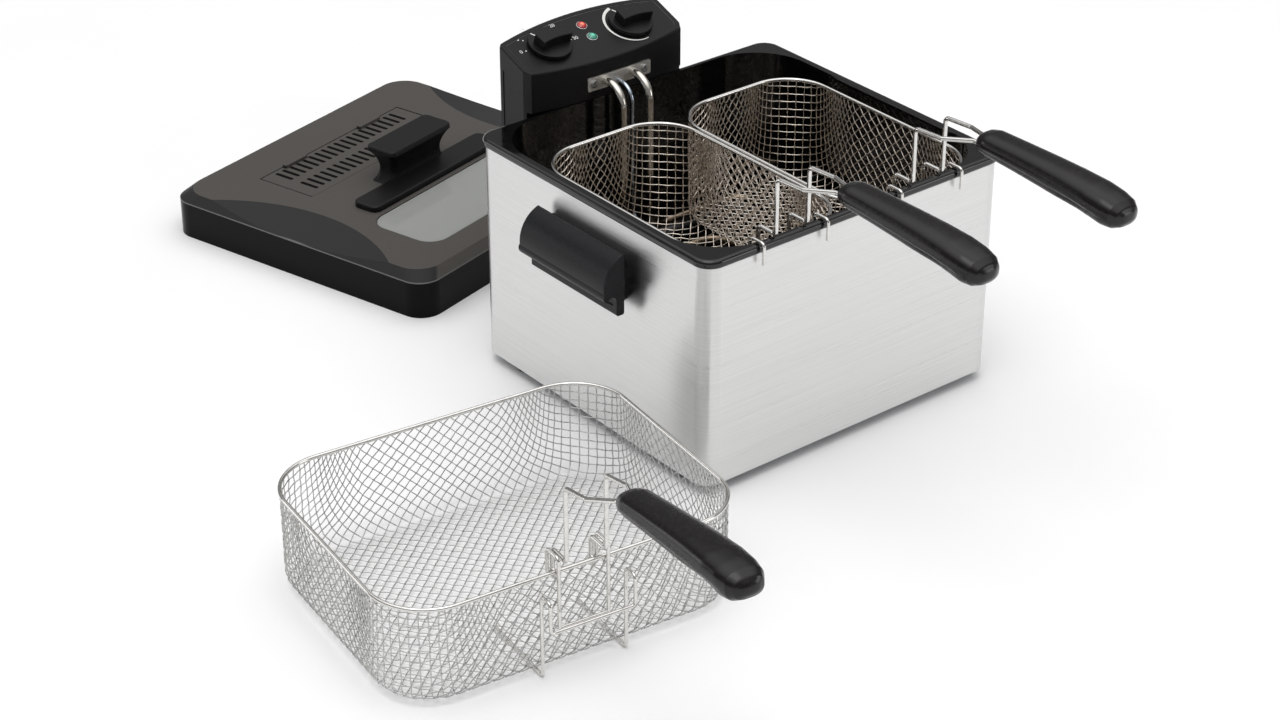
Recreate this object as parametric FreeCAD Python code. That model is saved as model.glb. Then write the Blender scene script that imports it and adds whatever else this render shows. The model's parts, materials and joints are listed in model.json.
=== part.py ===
import FreeCAD, Part
import math
import os

from FreeCAD import Placement, Rotation, Vector

# Deep fryer with two small baskets in its tank, a large basket and a lid standing beside it.
# Millimetres. Origin: the middle of the stand, on the plane of the feet. +Z up, front towards -Y.

# ---- driving dimensions ----
BODY_W = 324.0          # steel housing, left to right
BODY_D = 304.0          # steel housing, front to back
STEEL_H = 200.0         # height of the steel sheet
FOOT_H = 10.0
CORNER_R = 15.0         # upright corners of the housing
SHEET = 0.8             # stainless sheet
GAP = 0.3               # room left between pieces that come apart

RIM_W = 329.0           # oil tank, over its rolled edge
RIM_D = 308.0
RIM_H = 8.0
RIM_R = 16.5
OPEN_W = 312.0          # oil tank, inside
OPEN_D = 296.0
OPEN_R = 54.0
TANK_WALL = 1.2
TANK_FLOOR_Z = 64.0

HEAD_X = -19.0          # control head, middle of its width
HEAD_HALF_W = 87.0
HEAD_TILT = 20.0        # slope of the control panel, degrees
HEAD_FLOOR_Z = 130.0
HEAD_WALL = 3.0

KNOB_R = 20.0
KNOB_H = 13.0
TIMER_TURN = 94.0       # grip bar, anticlockwise from +Y
THERMOSTAT_TURN = 89.0
ELEMENT_R = 3.8         # heating tube
ELEMENT_Z = 88.0
ELEMENT_X = -12.0       # middle of the element bracket

RIM_WIRE_R = 1.7        # basket wires
HOOK_WIRE_R = 1.5
HANDLE_WIRE_R = 1.9
MESH_T = 1.4            # woven wall, over both wires

SMALL_W = 144.0         # small baskets, between rim wire centres
SMALL_D = 240.0
SMALL_H = 96.0
SMALL_X = 74.5
SMALL_RIM_Z = 210.0
SMALL_FRONT_Y = -144.0
LARGE_W = 300.0
LARGE_D = 236.0
LARGE_H = 84.0
LARGE_POSE = (-360.0, -148.0, -7.4)     # middle x, middle y, turn in degrees

LID_W = 342.0
LID_D = 315.0
LID_R = 22.0
LID_SKIRT_H = 36.0
LID_TOP_Z = 44.0
LID_SKIN = 2.4
SCOOP_IN = 45.0         # how far the scooped facets at the lid's two ends reach in
SCOOP_R = 182.5         # radius of the line where they meet the flat top
LID_POSE = (-46.0, 434.0, 15.6)

# ---- worked out from them ----
STEEL_TOP = FOOT_H + STEEL_H
RIM_TOP = STEEL_TOP + RIM_H
WALL_X = BODY_W / 2
WALL_Y = BODY_D / 2
X_AXIS = Vector(1, 0, 0)
Y_AXIS = Vector(0, 1, 0)
Z_AXIS = Vector(0, 0, 1)


# ---- shapes ----
def block(low, high):
    low, high = Vector(*low), Vector(*high)
    size = high - low
    return Part.makeBox(size.x, size.y, size.z, low)


def cylinder(radius, start, end):
    start, end = Vector(*start), Vector(*end)
    return Part.makeCylinder(radius, (end - start).Length, start, end - start)


def rounded_outline(width, depth, radius, z, x=0.0, y=0.0):
    """A closed wire: a rectangle with round corners, flat at height z."""
    hw, hd = width / 2, depth / 2
    bulge = radius * (1 - math.sqrt(0.5))
    edges = []
    corners = [(1, 1), (-1, 1), (-1, -1), (1, -1)]
    for i, (sx, sy) in enumerate(corners):
        on_side = Vector(x + sx * hw, y + sy * (hd - radius), z)
        on_end = Vector(x + sx * (hw - radius), y + sy * hd, z)
        first, last = (on_side, on_end) if i % 2 == 0 else (on_end, on_side)
        middle = Vector(x + sx * (hw - bulge), y + sy * (hd - bulge), z)
        edges.append(Part.Arc(first, middle, last).toShape())
    joined = []
    for i, arc in enumerate(edges):
        follower = edges[(i + 1) % 4]
        joined.append(arc)
        joined.append(Part.LineSegment(arc.lastVertex().Point, follower.firstVertex().Point).toShape())
    return Part.Wire(joined)


def prism(width, depth, radius, z0, z1, x=0.0, y=0.0):
    wire = rounded_outline(width, depth, radius, z0, x, y)
    return Part.Face(wire).extrude(Vector(0, 0, z1 - z0))


def edges_at_z(shape, z):
    """The edges that lie flat at one height."""
    found = []
    for edge in shape.Edges:
        box = edge.BoundBox
        if abs(box.ZMin - z) < 1e-4 and abs(box.ZMax - z) < 1e-4:
            found.append(edge)
    return found


def round_at_z(shape, radius, *heights):
    edges = [edge for z in heights for edge in edges_at_z(shape, z)]
    return shape.makeFillet(radius, edges)


def bent_path(points, bend):
    """Straight runs joined by tangent arcs of one radius."""
    edges = []
    start = points[0]
    for before, corner, after in zip(points, points[1:], points[2:]):
        into = (corner - before).normalize()
        out = (after - corner).normalize()
        half_turn = into.getAngle(out) / 2
        reach = bend * math.tan(half_turn)
        inward = (out - into).normalize()
        centre = corner + inward * (bend / math.cos(half_turn))
        arc_start, arc_end = corner - into * reach, corner + out * reach
        edges.append(Part.LineSegment(start, arc_start).toShape())
        edges.append(Part.Arc(arc_start, centre - inward * bend, arc_end).toShape())
        start = arc_end
    edges.append(Part.LineSegment(start, points[-1]).toShape())
    return Part.Wire(edges)


def rod(points, radius, bend):
    """A round wire or tube bent along the points."""
    points = [Vector(*p) for p in points]
    section = Part.Wire(Part.makeCircle(radius, points[0], points[1] - points[0]))
    return bent_path(points, bend).makePipeShell([section], True, False)


def wire_ring(width, depth, corner, radius, z):
    """A closed rectangular ring of round wire, made of straight lengths and quarter bends."""
    hw, hd = width / 2, depth / 2
    pieces = []
    for side in (-1, 1):
        pieces.append(cylinder(radius, (corner - hw, side * hd, z), (hw - corner, side * hd, z)))
        pieces.append(cylinder(radius, (side * hw, corner - hd, z), (side * hw, hd - corner, z)))
    for quarter, (sx, sy) in enumerate([(1, 1), (-1, 1), (-1, -1), (1, -1)]):
        bend = Part.makeTorus(corner, radius, Vector(), Z_AXIS, 0, 360, 90)
        bend.rotate(Vector(), Z_AXIS, 90 * quarter)
        bend.translate(Vector(sx * (hw - corner), sy * (hd - corner), z))
        pieces.append(bend)
    return pieces[0].fuse(pieces[1:]).removeSplitter()


def loft(*wires):
    return Part.makeLoft(list(wires), True, False)


def mirrored_x(shape):
    return shape.mirror(Vector(), X_AXIS)


def group(shapes):
    return Part.makeCompound(list(shapes))


def pan_screw(start, along, head_r, head_h, shaft_r, length):
    """A screw with its head's underside at start, and its shaft running along a direction."""
    start, along = Vector(*start), Vector(*along).normalize()
    head = Part.makeCylinder(head_r, head_h, start - along * head_h, along)
    shaft = Part.makeCylinder(shaft_r, length, start, along)
    slot = Part.makeBox(2.6, 0.7, 0.9, Vector(-1.3, -0.35, -0.9))
    cross = slot.fuse(slot.rotated(Vector(), Z_AXIS, 90))
    cross.Placement = Placement(start - along * head_h, Rotation(Z_AXIS, along * -1))
    return head.fuse(shaft).removeSplitter().cut(cross)


def save(node, shape):
    shape = shape if shape.ShapeType == "Compound" else Part.makeCompound([shape])
    assert shape.isValid() and all(s.isClosed() for s in shape.Shells), node
    shape.exportStep("parts/" + node + ".step")
    volume = sum(solid.Volume for solid in shape.Solids) / 1000
    print(f"{node:26s} solids {len(shape.Solids):2d}  volume {volume:8.2f} cm3")


# ---- housing ----
SIDE_SCREW_Y = 40.0
SIDE_SCREW_Z = 162.0
FOOT_X, FOOT_Y, FOOT_R = 144.0, 112.0, 11.0
RAIL_IN, RAIL_OUT = 54.0, 72.0
RAIL_Z0, RAIL_Z1 = 125.0, 195.0
RIVET_X, RIVET_R = 57.5, 1.6
RIVET_Z = (140.0, 180.0)
STRIKER_X = 22.0


def rivet_places():
    return [(HEAD_X + side * RIVET_X, z) for side in (-1, 1) for z in RIVET_Z]


def outer_housing():
    outer = prism(BODY_W, BODY_D, CORNER_R, FOOT_H, STEEL_TOP)
    inner_size = (BODY_W - 2 * SHEET, BODY_D - 2 * SHEET, CORNER_R - SHEET)
    shell = outer.cut(prism(*inner_size, FOOT_H - 1, STEEL_TOP + 1))
    holes = []
    for y in (-SIDE_SCREW_Y, SIDE_SCREW_Y):
        holes.append(cylinder(2.3, (-WALL_X - 1, y, SIDE_SCREW_Z), (WALL_X + 1, y, SIDE_SCREW_Z)))
    for x, z in rivet_places():
        holes.append(cylinder(RIVET_R, (x, WALL_Y - 3, z), (x, WALL_Y + 1, z)))
    return shell.cut(holes)


def base_plate():
    """Bottom pan with an upturned edge inside the housing, and a vent pattern."""
    thick = 1.2
    width, depth, radius = BODY_W - 2 * SHEET, BODY_D - 2 * SHEET, CORNER_R - SHEET
    pan = prism(width, depth, radius, FOOT_H, FOOT_H + 12)
    pan = pan.cut(prism(width - 2 * thick, depth - 2 * thick, radius - thick, FOOT_H + thick, FOOT_H + 13))
    holes = []
    for x in (-FOOT_X, FOOT_X):
        for y in (-FOOT_Y, FOOT_Y):
            holes.append(cylinder(2.2, (x, y, FOOT_H - 1), (x, y, FOOT_H + 3)))
    for step in range(7):
        x = -60 + 20 * step
        holes.append(prism(4, 60, 1.9, FOOT_H - 1, FOOT_H + 3, x, 0))
    return pan.cut(holes)


def foot_places():
    return [(sx * FOOT_X, sy * FOOT_Y) for sx in (-1, 1) for sy in (-1, 1)]


def feet():
    made = []
    for x, y in foot_places():
        foot = Part.makeCone(FOOT_R - 1.2, FOOT_R, FOOT_H, Vector(x, y, 0))
        foot = round_at_z(foot, 0.8, 0)
        foot = foot.cut([cylinder(5, (x, y, -1), (x, y, 4)), cylinder(2.25, (x, y, 0), (x, y, FOOT_H + 1))])
        made.append(foot)
    return group(made)


def foot_screws():
    return group(pan_screw((x, y, 4), (0, 0, 1), 4.2, 2.6, 2.15, 10) for x, y in foot_places())


SIDE_HANDLE_LEN = 115.0
SIDE_HANDLE_TOP, SIDE_HANDLE_LIP = 190.0, 136.0


def right_side_handle():
    """Moulded hood with a finger pocket beneath it, on a mount block against the wall."""
    def at(out, z):
        return Vector(WALL_X + out, -SIDE_HANDLE_LEN / 2, z)
    outline = [
        Part.LineSegment(at(8, 138), at(8, SIDE_HANDLE_TOP)),
        Part.LineSegment(at(8, SIDE_HANDLE_TOP), at(10.5, SIDE_HANDLE_TOP)),
        Part.Arc(at(10.5, SIDE_HANDLE_TOP), at(23.5, 179.5), at(28.5, 160)),
        Part.Arc(at(28.5, 160), at(28.2, 153.6), at(25.4, 151.6)),
        Part.Arc(at(25.4, 151.6), at(20.4, 154.8), at(16, 150)),
        Part.LineSegment(at(16, 150), at(16, 138)),
        Part.Arc(at(16, 138), at(15.4, 136.6), at(14, SIDE_HANDLE_LIP)),
        Part.LineSegment(at(14, SIDE_HANDLE_LIP), at(10, SIDE_HANDLE_LIP)),
        Part.Arc(at(10, SIDE_HANDLE_LIP), at(8.6, 136.6), at(8, 138)),
    ]
    face = Part.Face(Part.Wire([piece.toShape() for piece in outline]))
    hood = face.extrude(Vector(0, SIDE_HANDLE_LEN, 0))
    crown = [e for e in hood.Edges if e.BoundBox.YLength < 1e-4 and e.BoundBox.ZLength > 20
             and e.BoundBox.XMax > WALL_X + 20]
    hood = hood.makeFillet(1.2, crown)
    reach = SIDE_HANDLE_LEN / 2 - 5
    pocket = block((WALL_X + 15, -reach, 144), (WALL_X + 24.6, reach, 170))
    slope = Part.makeCylinder(14, 2 * reach, Vector(WALL_X + 10.8, -reach, 164), Y_AXIS)
    pocket = pocket.common(slope.fuse(block((WALL_X + 15, -reach, 143), (WALL_X + 24.6, reach, 164))))
    hood = hood.cut(pocket)
    mount = block((WALL_X, -48, 142), (WALL_X + 9, 48, 184))
    handle = hood.fuse(mount).removeSplitter()
    bores = [cylinder(1.9, (WALL_X - 1, y, SIDE_SCREW_Z), (WALL_X + 10, y, SIDE_SCREW_Z))
             for y in (-SIDE_SCREW_Y, SIDE_SCREW_Y)]
    return handle.cut(bores)


def side_handle_screws():
    right = [pan_screw((WALL_X - SHEET, y, SIDE_SCREW_Z), (1, 0, 0), 3.6, 2.2, 1.85, 9)
             for y in (-SIDE_SCREW_Y, SIDE_SCREW_Y)]
    return group(right + [mirrored_x(screw) for screw in right])


def rear_rails():
    """Two upright channels that hold the control head's tongues, and the pad that trips its switch."""
    solids = []
    for side in (-1, 1):
        base = block((RAIL_IN, WALL_Y, RAIL_Z0), (RAIL_OUT, WALL_Y + 1.5, RAIL_Z1))
        web = block((RAIL_OUT - 1.5, WALL_Y, RAIL_Z0), (RAIL_OUT, WALL_Y + 7.4, RAIL_Z1))
        lip = block((60, WALL_Y + 5.8, RAIL_Z0), (RAIL_OUT, WALL_Y + 7.4, RAIL_Z1))
        rail = base.fuse([web, lip]).removeSplitter()
        rail = rail.cut([cylinder(RIVET_R, (RIVET_X, WALL_Y - 1, z), (RIVET_X, WALL_Y + 2, z))
                         for z in RIVET_Z])
        rail = rail if side > 0 else mirrored_x(rail)
        solids.append(rail.translated(Vector(HEAD_X, 0, 0)))
    x = HEAD_X + STRIKER_X
    solids.append(block((x - 6, WALL_Y, 150), (x + 6, WALL_Y + 2, 166)))
    return group(solids)


def rail_rivets():
    made = []
    for x, z in rivet_places():
        head = cylinder(2.6, (x, WALL_Y - SHEET - 1, z), (x, WALL_Y - SHEET, z))
        shank = cylinder(RIVET_R, (x, WALL_Y - SHEET, z), (x, WALL_Y + 1.5, z))
        made.append(head.fuse(shank).removeSplitter())
    return group(made)


# ---- oil tank ----
def oil_tank():
    """Deep drawn enamelled pan whose rolled edge stands on the housing's top edge."""
    bead = prism(RIM_W, RIM_D, RIM_R, STEEL_TOP + GAP, RIM_TOP)
    bead = round_at_z(bead, 3.4, RIM_TOP)
    bead = round_at_z(bead, 2.6, STEEL_TOP + GAP)
    bead = bead.cut(prism(RIM_W - 10, RIM_D - 10, RIM_R - 5, STEEL_TOP - 1, RIM_TOP - 1.4))
    wall = TANK_WALL
    outer = prism(OPEN_W + 2 * wall, OPEN_D + 2 * wall, OPEN_R + wall, TANK_FLOOR_Z, RIM_TOP - 0.7)
    outer = round_at_z(outer, 16, TANK_FLOOR_Z)
    inner = prism(OPEN_W, OPEN_D, OPEN_R, TANK_FLOOR_Z + wall, RIM_TOP + 1)
    inner = round_at_z(inner, 16 - wall, TANK_FLOOR_Z + wall)
    return bead.fuse(outer).removeSplitter().cut(inner)


# ---- control head ----
PANEL_FRONT_Y, PANEL_FRONT_Z = 150.0, 253.0
HEAD_BASE_Z = RIM_TOP + 0.4
LOWER_FRONT_Y = 160.5
SPLIT_Y = 178.0
CASE_SCREW_X = 70.0
CASE_SCREW_Z = (145.0, 244.0)
BRACKET_W, BRACKET_H, BRACKET_Z = 70.0, 13.0, 232.0
BRACKET_Y = 149.4       # back face of the element bracket
TUBE_HALF = 15.0
BRACKET_SCREW = 28.0
CAPILLARY_Z = 227.6
TIMER_AT = (-64.0, 180.0)
THERMOSTAT_AT = (24.0, 178.0)
POWER_LAMP_AT = (-20.0, 191.0)
READY_LAMP_AT = (-20.0, 176.0)
LAMP_R = 4.2
SHAFT_R = 3.0
PANEL_T = 2.5
PANEL_DOWN = 0.6        # the panel's face lies this far below the edge round it
INLET_Z = 152.0
RESET_AT = (HEAD_X + 48.0, 152.0)


def panel_point(x, y, lift=0.0):
    """A point on the plane of the head's sloping top, moved out along its normal."""
    slope = math.radians(HEAD_TILT)
    z = PANEL_FRONT_Z + (y - PANEL_FRONT_Y) * math.tan(slope)
    return Vector(x, y, z) + Vector(0, -math.sin(slope), math.cos(slope)) * lift


def on_panel(shape, x, y, lift=0.0):
    """Puts a shape, drawn with its foot at the origin and +Z up, on the sloping panel."""
    placed = shape.copy()
    seat = Placement(panel_point(x, y, lift), Rotation(X_AXIS, HEAD_TILT))
    placed.Placement = seat.multiply(shape.Placement)
    return placed


def under_panel(depth):
    """Everything below the sloping top, lowered by a depth along its normal."""
    return on_panel(block((-200, -200, -400), (200, 200, 0)), HEAD_X, PANEL_FRONT_Y, -depth)


def head_outline(inset, z):
    """The head seen from above: bowed front and back, flats at the front corners."""
    half = HEAD_HALF_W

    def at(x, y):
        return Vector(HEAD_X + x, y, z)
    edges = [
        Part.Arc(at(-half + 4, 156), at(0, 148), at(half - 4, 156)),
        Part.LineSegment(at(half - 4, 156), at(half, 163)),
        Part.LineSegment(at(half, 163), at(half, 196)),
        Part.LineSegment(at(half, 196), at(half - 3, 199)),
        Part.Arc(at(half - 3, 199), at(0, 209), at(3 - half, 199)),
        Part.LineSegment(at(3 - half, 199), at(-half, 196)),
        Part.LineSegment(at(-half, 196), at(-half, 163)),
        Part.LineSegment(at(-half, 163), at(-half + 4, 156)),
    ]
    wire = Part.Wire([edge.toShape() for edge in edges])
    return wire.makeOffset2D(-inset, 0, False, False, False) if inset else wire


def head_column(inset, z0, z1):
    return Part.Face(head_outline(inset, z0)).extrude(Vector(0, 0, z1 - z0))


def head_envelope():
    """Outer form: a block over the tank's edge, running down behind the housing."""
    upper = head_column(0, HEAD_BASE_Z, 300)
    lower = head_column(0, HEAD_FLOOR_Z, HEAD_BASE_Z).common(
        block((-200, LOWER_FRONT_Y, HEAD_FLOOR_Z), (200, 300, HEAD_BASE_Z)))
    whole = upper.fuse(lower).removeSplitter().common(under_panel(0))
    top = [e for e in whole.Edges if all(abs(under_height(v.Point)) < 0.01 for v in e.Vertexes)]
    return whole.makeFillet(1.6, top)


def under_height(point):
    slope = math.tan(math.radians(HEAD_TILT))
    return PANEL_FRONT_Z + (point.y - PANEL_FRONT_Y) * slope - point.z


def head_cavity():
    wall = HEAD_WALL
    upper = head_column(wall, HEAD_BASE_Z + wall, 300)
    lower = head_column(wall, HEAD_FLOOR_Z + wall, HEAD_BASE_Z + wall).common(
        block((-200, LOWER_FRONT_Y + wall, HEAD_FLOOR_Z), (200, 300, HEAD_BASE_Z + wall)))
    room = upper.fuse(lower).removeSplitter().common(under_panel(PANEL_DOWN + PANEL_T + 2.5))
    neck = head_column(8, 200, 300).common(under_panel(PANEL_DOWN + PANEL_T))
    return room.fuse(neck)


def case_screw_places():
    return [(HEAD_X + side * CASE_SCREW_X, z) for side in (-1, 1) for z in CASE_SCREW_Z]


def head_shells():
    """The head's front moulding and its back cover, with their screw posts."""
    envelope = head_envelope()
    pocket = head_column(5, 200, 320).cut(under_panel(PANEL_DOWN + PANEL_T))
    shell = envelope.cut([head_cavity(), pocket])
    posts = [cylinder(4.6, (x, 140, z), (x, 215, z)).common(envelope) for x, z in case_screw_places()]
    shell = shell.fuse(posts).removeSplitter()
    for side in (-1, 1):
        x = HEAD_X + side * (HEAD_HALF_W - 0.3)
        shell = shell.cut(block((x - 0.3, 168, 150), (x + 0.3, 192, 248)))
    front = shell.common(block((-200, 100, 100), (200, SPLIT_Y, 320)))
    back = shell.common(block((-200, SPLIT_Y, 100), (200, 300, 320)))
    tongues = []
    for side in (-1, 1):
        blade = block((50, WALL_Y + 2.6, 135), (70, WALL_Y + 5.4, 190))
        neck = block((50, WALL_Y + 5.4, 135), (58.5, LOWER_FRONT_Y + 1, 190))
        tongue = blade.fuse(neck).removeSplitter()
        tongue = tongue if side > 0 else mirrored_x(tongue)
        tongues.append(tongue.translated(Vector(HEAD_X, 0, 0)))
    front = front.fuse(tongues).removeSplitter()
    seat = block((ELEMENT_X - BRACKET_W / 2 - 1, 140, BRACKET_Z - BRACKET_H / 2 - 1),
                 (ELEMENT_X + BRACKET_W / 2 + 1, BRACKET_Y, BRACKET_Z + BRACKET_H / 2 + 1))
    cuts = [seat]
    for side in (-1, 1):
        x = ELEMENT_X + side * TUBE_HALF
        cuts.append(cylinder(ELEMENT_R + 0.2, (x, 140, BRACKET_Z), (x, 165, BRACKET_Z)))
        x = ELEMENT_X + side * BRACKET_SCREW
        cuts.append(cylinder(1.5, (x, 145, BRACKET_Z), (x, 158, BRACKET_Z)))
    cuts.append(cylinder(2.5, (ELEMENT_X, 140, CAPILLARY_Z), (ELEMENT_X, 165, CAPILLARY_Z)))
    x = HEAD_X + STRIKER_X
    cuts.append(block((x - 2.2, LOWER_FRONT_Y - 1, 156), (x + 2.2, LOWER_FRONT_Y + 4, 161)))
    for x, z in case_screw_places():
        cuts.append(cylinder(1.4, (x, 167, z), (x, SPLIT_Y, z)))
    front = front.cut(cuts)
    cuts = [cylinder(3.1, (RESET_AT[0], 195, RESET_AT[1]), (RESET_AT[0], 212, RESET_AT[1])),
            prism(30, 18, 3, 0, 20).rotated(Vector(), X_AXIS, -90).translated(Vector(HEAD_X, 195, INLET_Z))]
    for x, z in case_screw_places():
        cuts.append(cylinder(1.7, (x, SPLIT_Y, z), (x, 215, z)))
        cuts.append(cylinder(3.5, (x, 196, z), (x, 215, z)))
    return front, back.cut(cuts)


def case_screws():
    return group(pan_screw((x, 196, z), (0, -1, 0), 3.2, 2.2, 1.35, 27) for x, z in case_screw_places())


def control_panel():
    plate = head_column(5.15, 200, 320).common(under_panel(PANEL_DOWN)).cut(under_panel(PANEL_DOWN + PANEL_T))
    holes = [on_panel(cylinder(4.5, (0, 0, -20), (0, 0, 5)), *TIMER_AT),
             on_panel(cylinder(4.5, (0, 0, -20), (0, 0, 5)), *THERMOSTAT_AT),
             on_panel(cylinder(LAMP_R + 0.1, (0, 0, -20), (0, 0, 5)), *POWER_LAMP_AT),
             on_panel(cylinder(LAMP_R + 0.1, (0, 0, -20), (0, 0, 5)), *READY_LAMP_AT)]
    return plate.cut(holes)


def lamp(place):
    """Domed lens with a flange under the panel and its neon tube behind."""
    under = -PANEL_DOWN - PANEL_T
    lens = cylinder(LAMP_R, (0, 0, under), (0, 0, 0.6))
    dome = Part.makeSphere(6.2, Vector(0, 0, -4.0)).common(cylinder(LAMP_R, (0, 0, 0.2), (0, 0, 4)))
    flange = cylinder(LAMP_R + 1.4, (0, 0, under - 1.4), (0, 0, under))
    tube = cylinder(2.6, (0, 0, under - 13), (0, 0, under - 1.4))
    return on_panel(lens.fuse([dome, flange, tube]).removeSplitter(), *place)


def knob():
    """Round skirt with a grip bar across it, bored for its shaft."""
    skirt = round_at_z(cylinder(KNOB_R, (0, 0, 0), (0, 0, 4)), 0.8, 4)
    bar = cylinder(KNOB_R - 1.2, (0, 0, 3), (0, 0, KNOB_H))
    bar = bar.common(block((-7, -KNOB_R, 0), (7, 14, KNOB_H)))
    for side in (-1, 1):
        bar = bar.cut(cylinder(60, (side * 65, 0, 0), (side * 65, 0, 20)))
    bar = round_at_z(bar, 1.0, KNOB_H)
    whole = skirt.fuse(bar).removeSplitter()
    return whole.cut(cylinder(SHAFT_R, (0, 0, -1), (0, 0, 9)))


KNOB_LIFT = 0.4


def knob_turned(place, turn):
    return on_panel(knob().rotated(Vector(), Z_AXIS, turn), *place, KNOB_LIFT)


def control_shaft(place):
    """Turning shaft, pressed into its knob and running in the control below the panel."""
    return on_panel(cylinder(SHAFT_R, (0, 0, -20), (0, 0, 9 + KNOB_LIFT)), *place)


CONTROL_TOP = -(PANEL_DOWN + PANEL_T + 0.3)
SHAFT_BORE_R = SHAFT_R + 0.06


def timer_movement():
    body = cylinder(17, (0, 0, CONTROL_TOP - 16), (0, 0, CONTROL_TOP))
    plate = block((-19, -12, CONTROL_TOP - 18), (19, 12, CONTROL_TOP - 16))
    body = body.fuse(plate).removeSplitter().cut(cylinder(SHAFT_BORE_R, (0, 0, -21), (0, 0, 0)))
    return on_panel(body, *TIMER_AT)


def thermostat_body():
    body = block((-16, -12, CONTROL_TOP - 22), (16, 12, CONTROL_TOP))
    terminals = [block((x - 3, -1, CONTROL_TOP - 29), (x + 3, -0.2, CONTROL_TOP - 22)) for x in (-9, 9)]
    body = body.fuse(terminals).removeSplitter().cut(cylinder(SHAFT_BORE_R, (0, 0, -21), (0, 0, 0)))
    return on_panel(body, *THERMOSTAT_AT)


def element_bracket():
    plate = prism(BRACKET_W, BRACKET_H, 1.5, 0, 1.6).rotated(Vector(), X_AXIS, -90)
    plate.translate(Vector(ELEMENT_X, BRACKET_Y - 1.6, BRACKET_Z))
    holes = []
    for side in (-1, 1):
        x = ELEMENT_X + side * TUBE_HALF
        holes.append(cylinder(ELEMENT_R, (x, 140, BRACKET_Z), (x, 160, BRACKET_Z)))
        x = ELEMENT_X + side * BRACKET_SCREW
        holes.append(cylinder(1.7, (x, 140, BRACKET_Z), (x, 160, BRACKET_Z)))
    holes.append(cylinder(2.2, (ELEMENT_X, 140, CAPILLARY_Z), (ELEMENT_X, 160, CAPILLARY_Z)))
    return plate.cut(holes)


def bracket_screws():
    places = [(ELEMENT_X + side * BRACKET_SCREW, BRACKET_Y - 1.6, BRACKET_Z) for side in (-1, 1)]
    return group(pan_screw(place, (0, 1, 0), 3.3, 1.8, 1.45, 9) for place in places)


DROP_Y = 124.0          # where the tubes go down behind the baskets


def heating_element():
    """One sheathed tube: in through the bracket, down, round the tank's floor, and back."""
    left, right = ELEMENT_X - TUBE_HALF, ELEMENT_X + TUBE_HALF
    z = ELEMENT_Z
    path = [(left, 176, BRACKET_Z), (left, DROP_Y, BRACKET_Z), (left, DROP_Y, z),
            (-110, DROP_Y, z), (-110, -105, z), (-40, -105, z), (-40, 75, z),
            (40, 75, z), (40, -105, z), (110, -105, z), (110, DROP_Y, z),
            (right, DROP_Y, z), (right, DROP_Y, BRACKET_Z), (right, 176, BRACKET_Z)]
    return rod(path, ELEMENT_R, 20)


CLIP_Z = ELEMENT_Z + 4.1
CLIP_TOP = CLIP_Z + 1.2
BULB_R = 3.0
BULB_Z = CLIP_TOP + BULB_R + 0.2


def thermostat_bulb():
    """Capillary from the thermostat, ending in its sensing bulb above the element's loop."""
    z = BULB_Z
    tube = rod([(ELEMENT_X, 168, CAPILLARY_Z), (ELEMENT_X, 130, CAPILLARY_Z), (ELEMENT_X, 130, z),
                (ELEMENT_X, 52, z)], 2.1, 16)
    bulb = cylinder(BULB_R, (ELEMENT_X, -40, z), (ELEMENT_X, 52, z))
    return tube.fuse(bulb).removeSplitter()


def bulb_clip():
    """Strip across the two inner runs of the element, with ears beside the bulb and ends turned down."""
    strip = block((-46, -6, CLIP_Z), (46, 6, CLIP_TOP))
    for side in (-1, 1):
        leg = block((44.9, -6, ELEMENT_Z - 3), (46.1, 6, CLIP_TOP))
        strip = strip.fuse(leg if side > 0 else mirrored_x(leg))
        x = ELEMENT_X + side * (BULB_R + 0.9)
        strip = strip.fuse(block((x - 0.6, -6, CLIP_Z), (x + 0.6, 6, BULB_Z + 1)))
    return strip.removeSplitter()


def interlock_switch():
    """Safety switch whose plunger meets the pad on the housing when the head is in place."""
    x = HEAD_X + STRIKER_X
    body = block((x - 10, LOWER_FRONT_Y + HEAD_WALL, 150), (x + 10, LOWER_FRONT_Y + HEAD_WALL + 7, 167))
    plunger = block((x - 2, WALL_Y + 2.4, 156.2), (x + 2, LOWER_FRONT_Y + HEAD_WALL, 160.8))
    return body.fuse(plunger).removeSplitter()


def power_inlet():
    """Shrouded socket for a breakaway lead."""
    def facing_back(shape, y):
        return shape.rotated(Vector(), X_AXIS, -90).translated(Vector(HEAD_X, y, INLET_Z))
    body = facing_back(prism(29.6, 17.6, 2.8, 0, 18), 190)
    hollow = facing_back(prism(26, 14, 2, 0, 10), 199)
    holes = [cylinder(1.6, (x, 180, INLET_Z), (x, 200, INLET_Z)) for x in (HEAD_X - 6, HEAD_X + 6)]
    return body.cut([hollow] + holes)


def inlet_pins():
    return group(cylinder(1.6, (HEAD_X + side * 6, 184, INLET_Z), (HEAD_X + side * 6, 205, INLET_Z))
                 for side in (-1, 1))


def thermal_cutout():
    x, z = RESET_AT
    body = cylinder(9, (x, 184, z), (x, 195, z))
    return body.cut(cylinder(3.1, (x, 189, z), (x, 196, z)))


def reset_button():
    x, z = RESET_AT
    pin = cylinder(2.9, (x, 192, z), (x, 208, z))
    ends = [e for e in pin.Edges if abs(e.BoundBox.YMin - 208) < 1e-4 and abs(e.BoundBox.YMax - 208) < 1e-4]
    return pin.makeFillet(0.8, ends)


# ---- baskets ----
# Drawn with the middle of the front rim wire at the origin, the basket running back along +Y.
PIVOT_Y, PIVOT_Z = 14.0, -10.0      # cross wire that the handle turns on
EYE_R = HOOK_WIRE_R + 0.3 + 1.6
GRIP_Y0, GRIP_Y1 = -70.0, -226.0
HANDLE_TOP_Y, HANDLE_TOP_Z = -8.0, 60.0     # bend at the top of the handle's uprights
LARGE_RISE, LARGE_TILT = 15.0, 9.0          # the large basket's handle stands higher, with its grip tilted up
LARGE_BRACKET_TOP = 13.0


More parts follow.
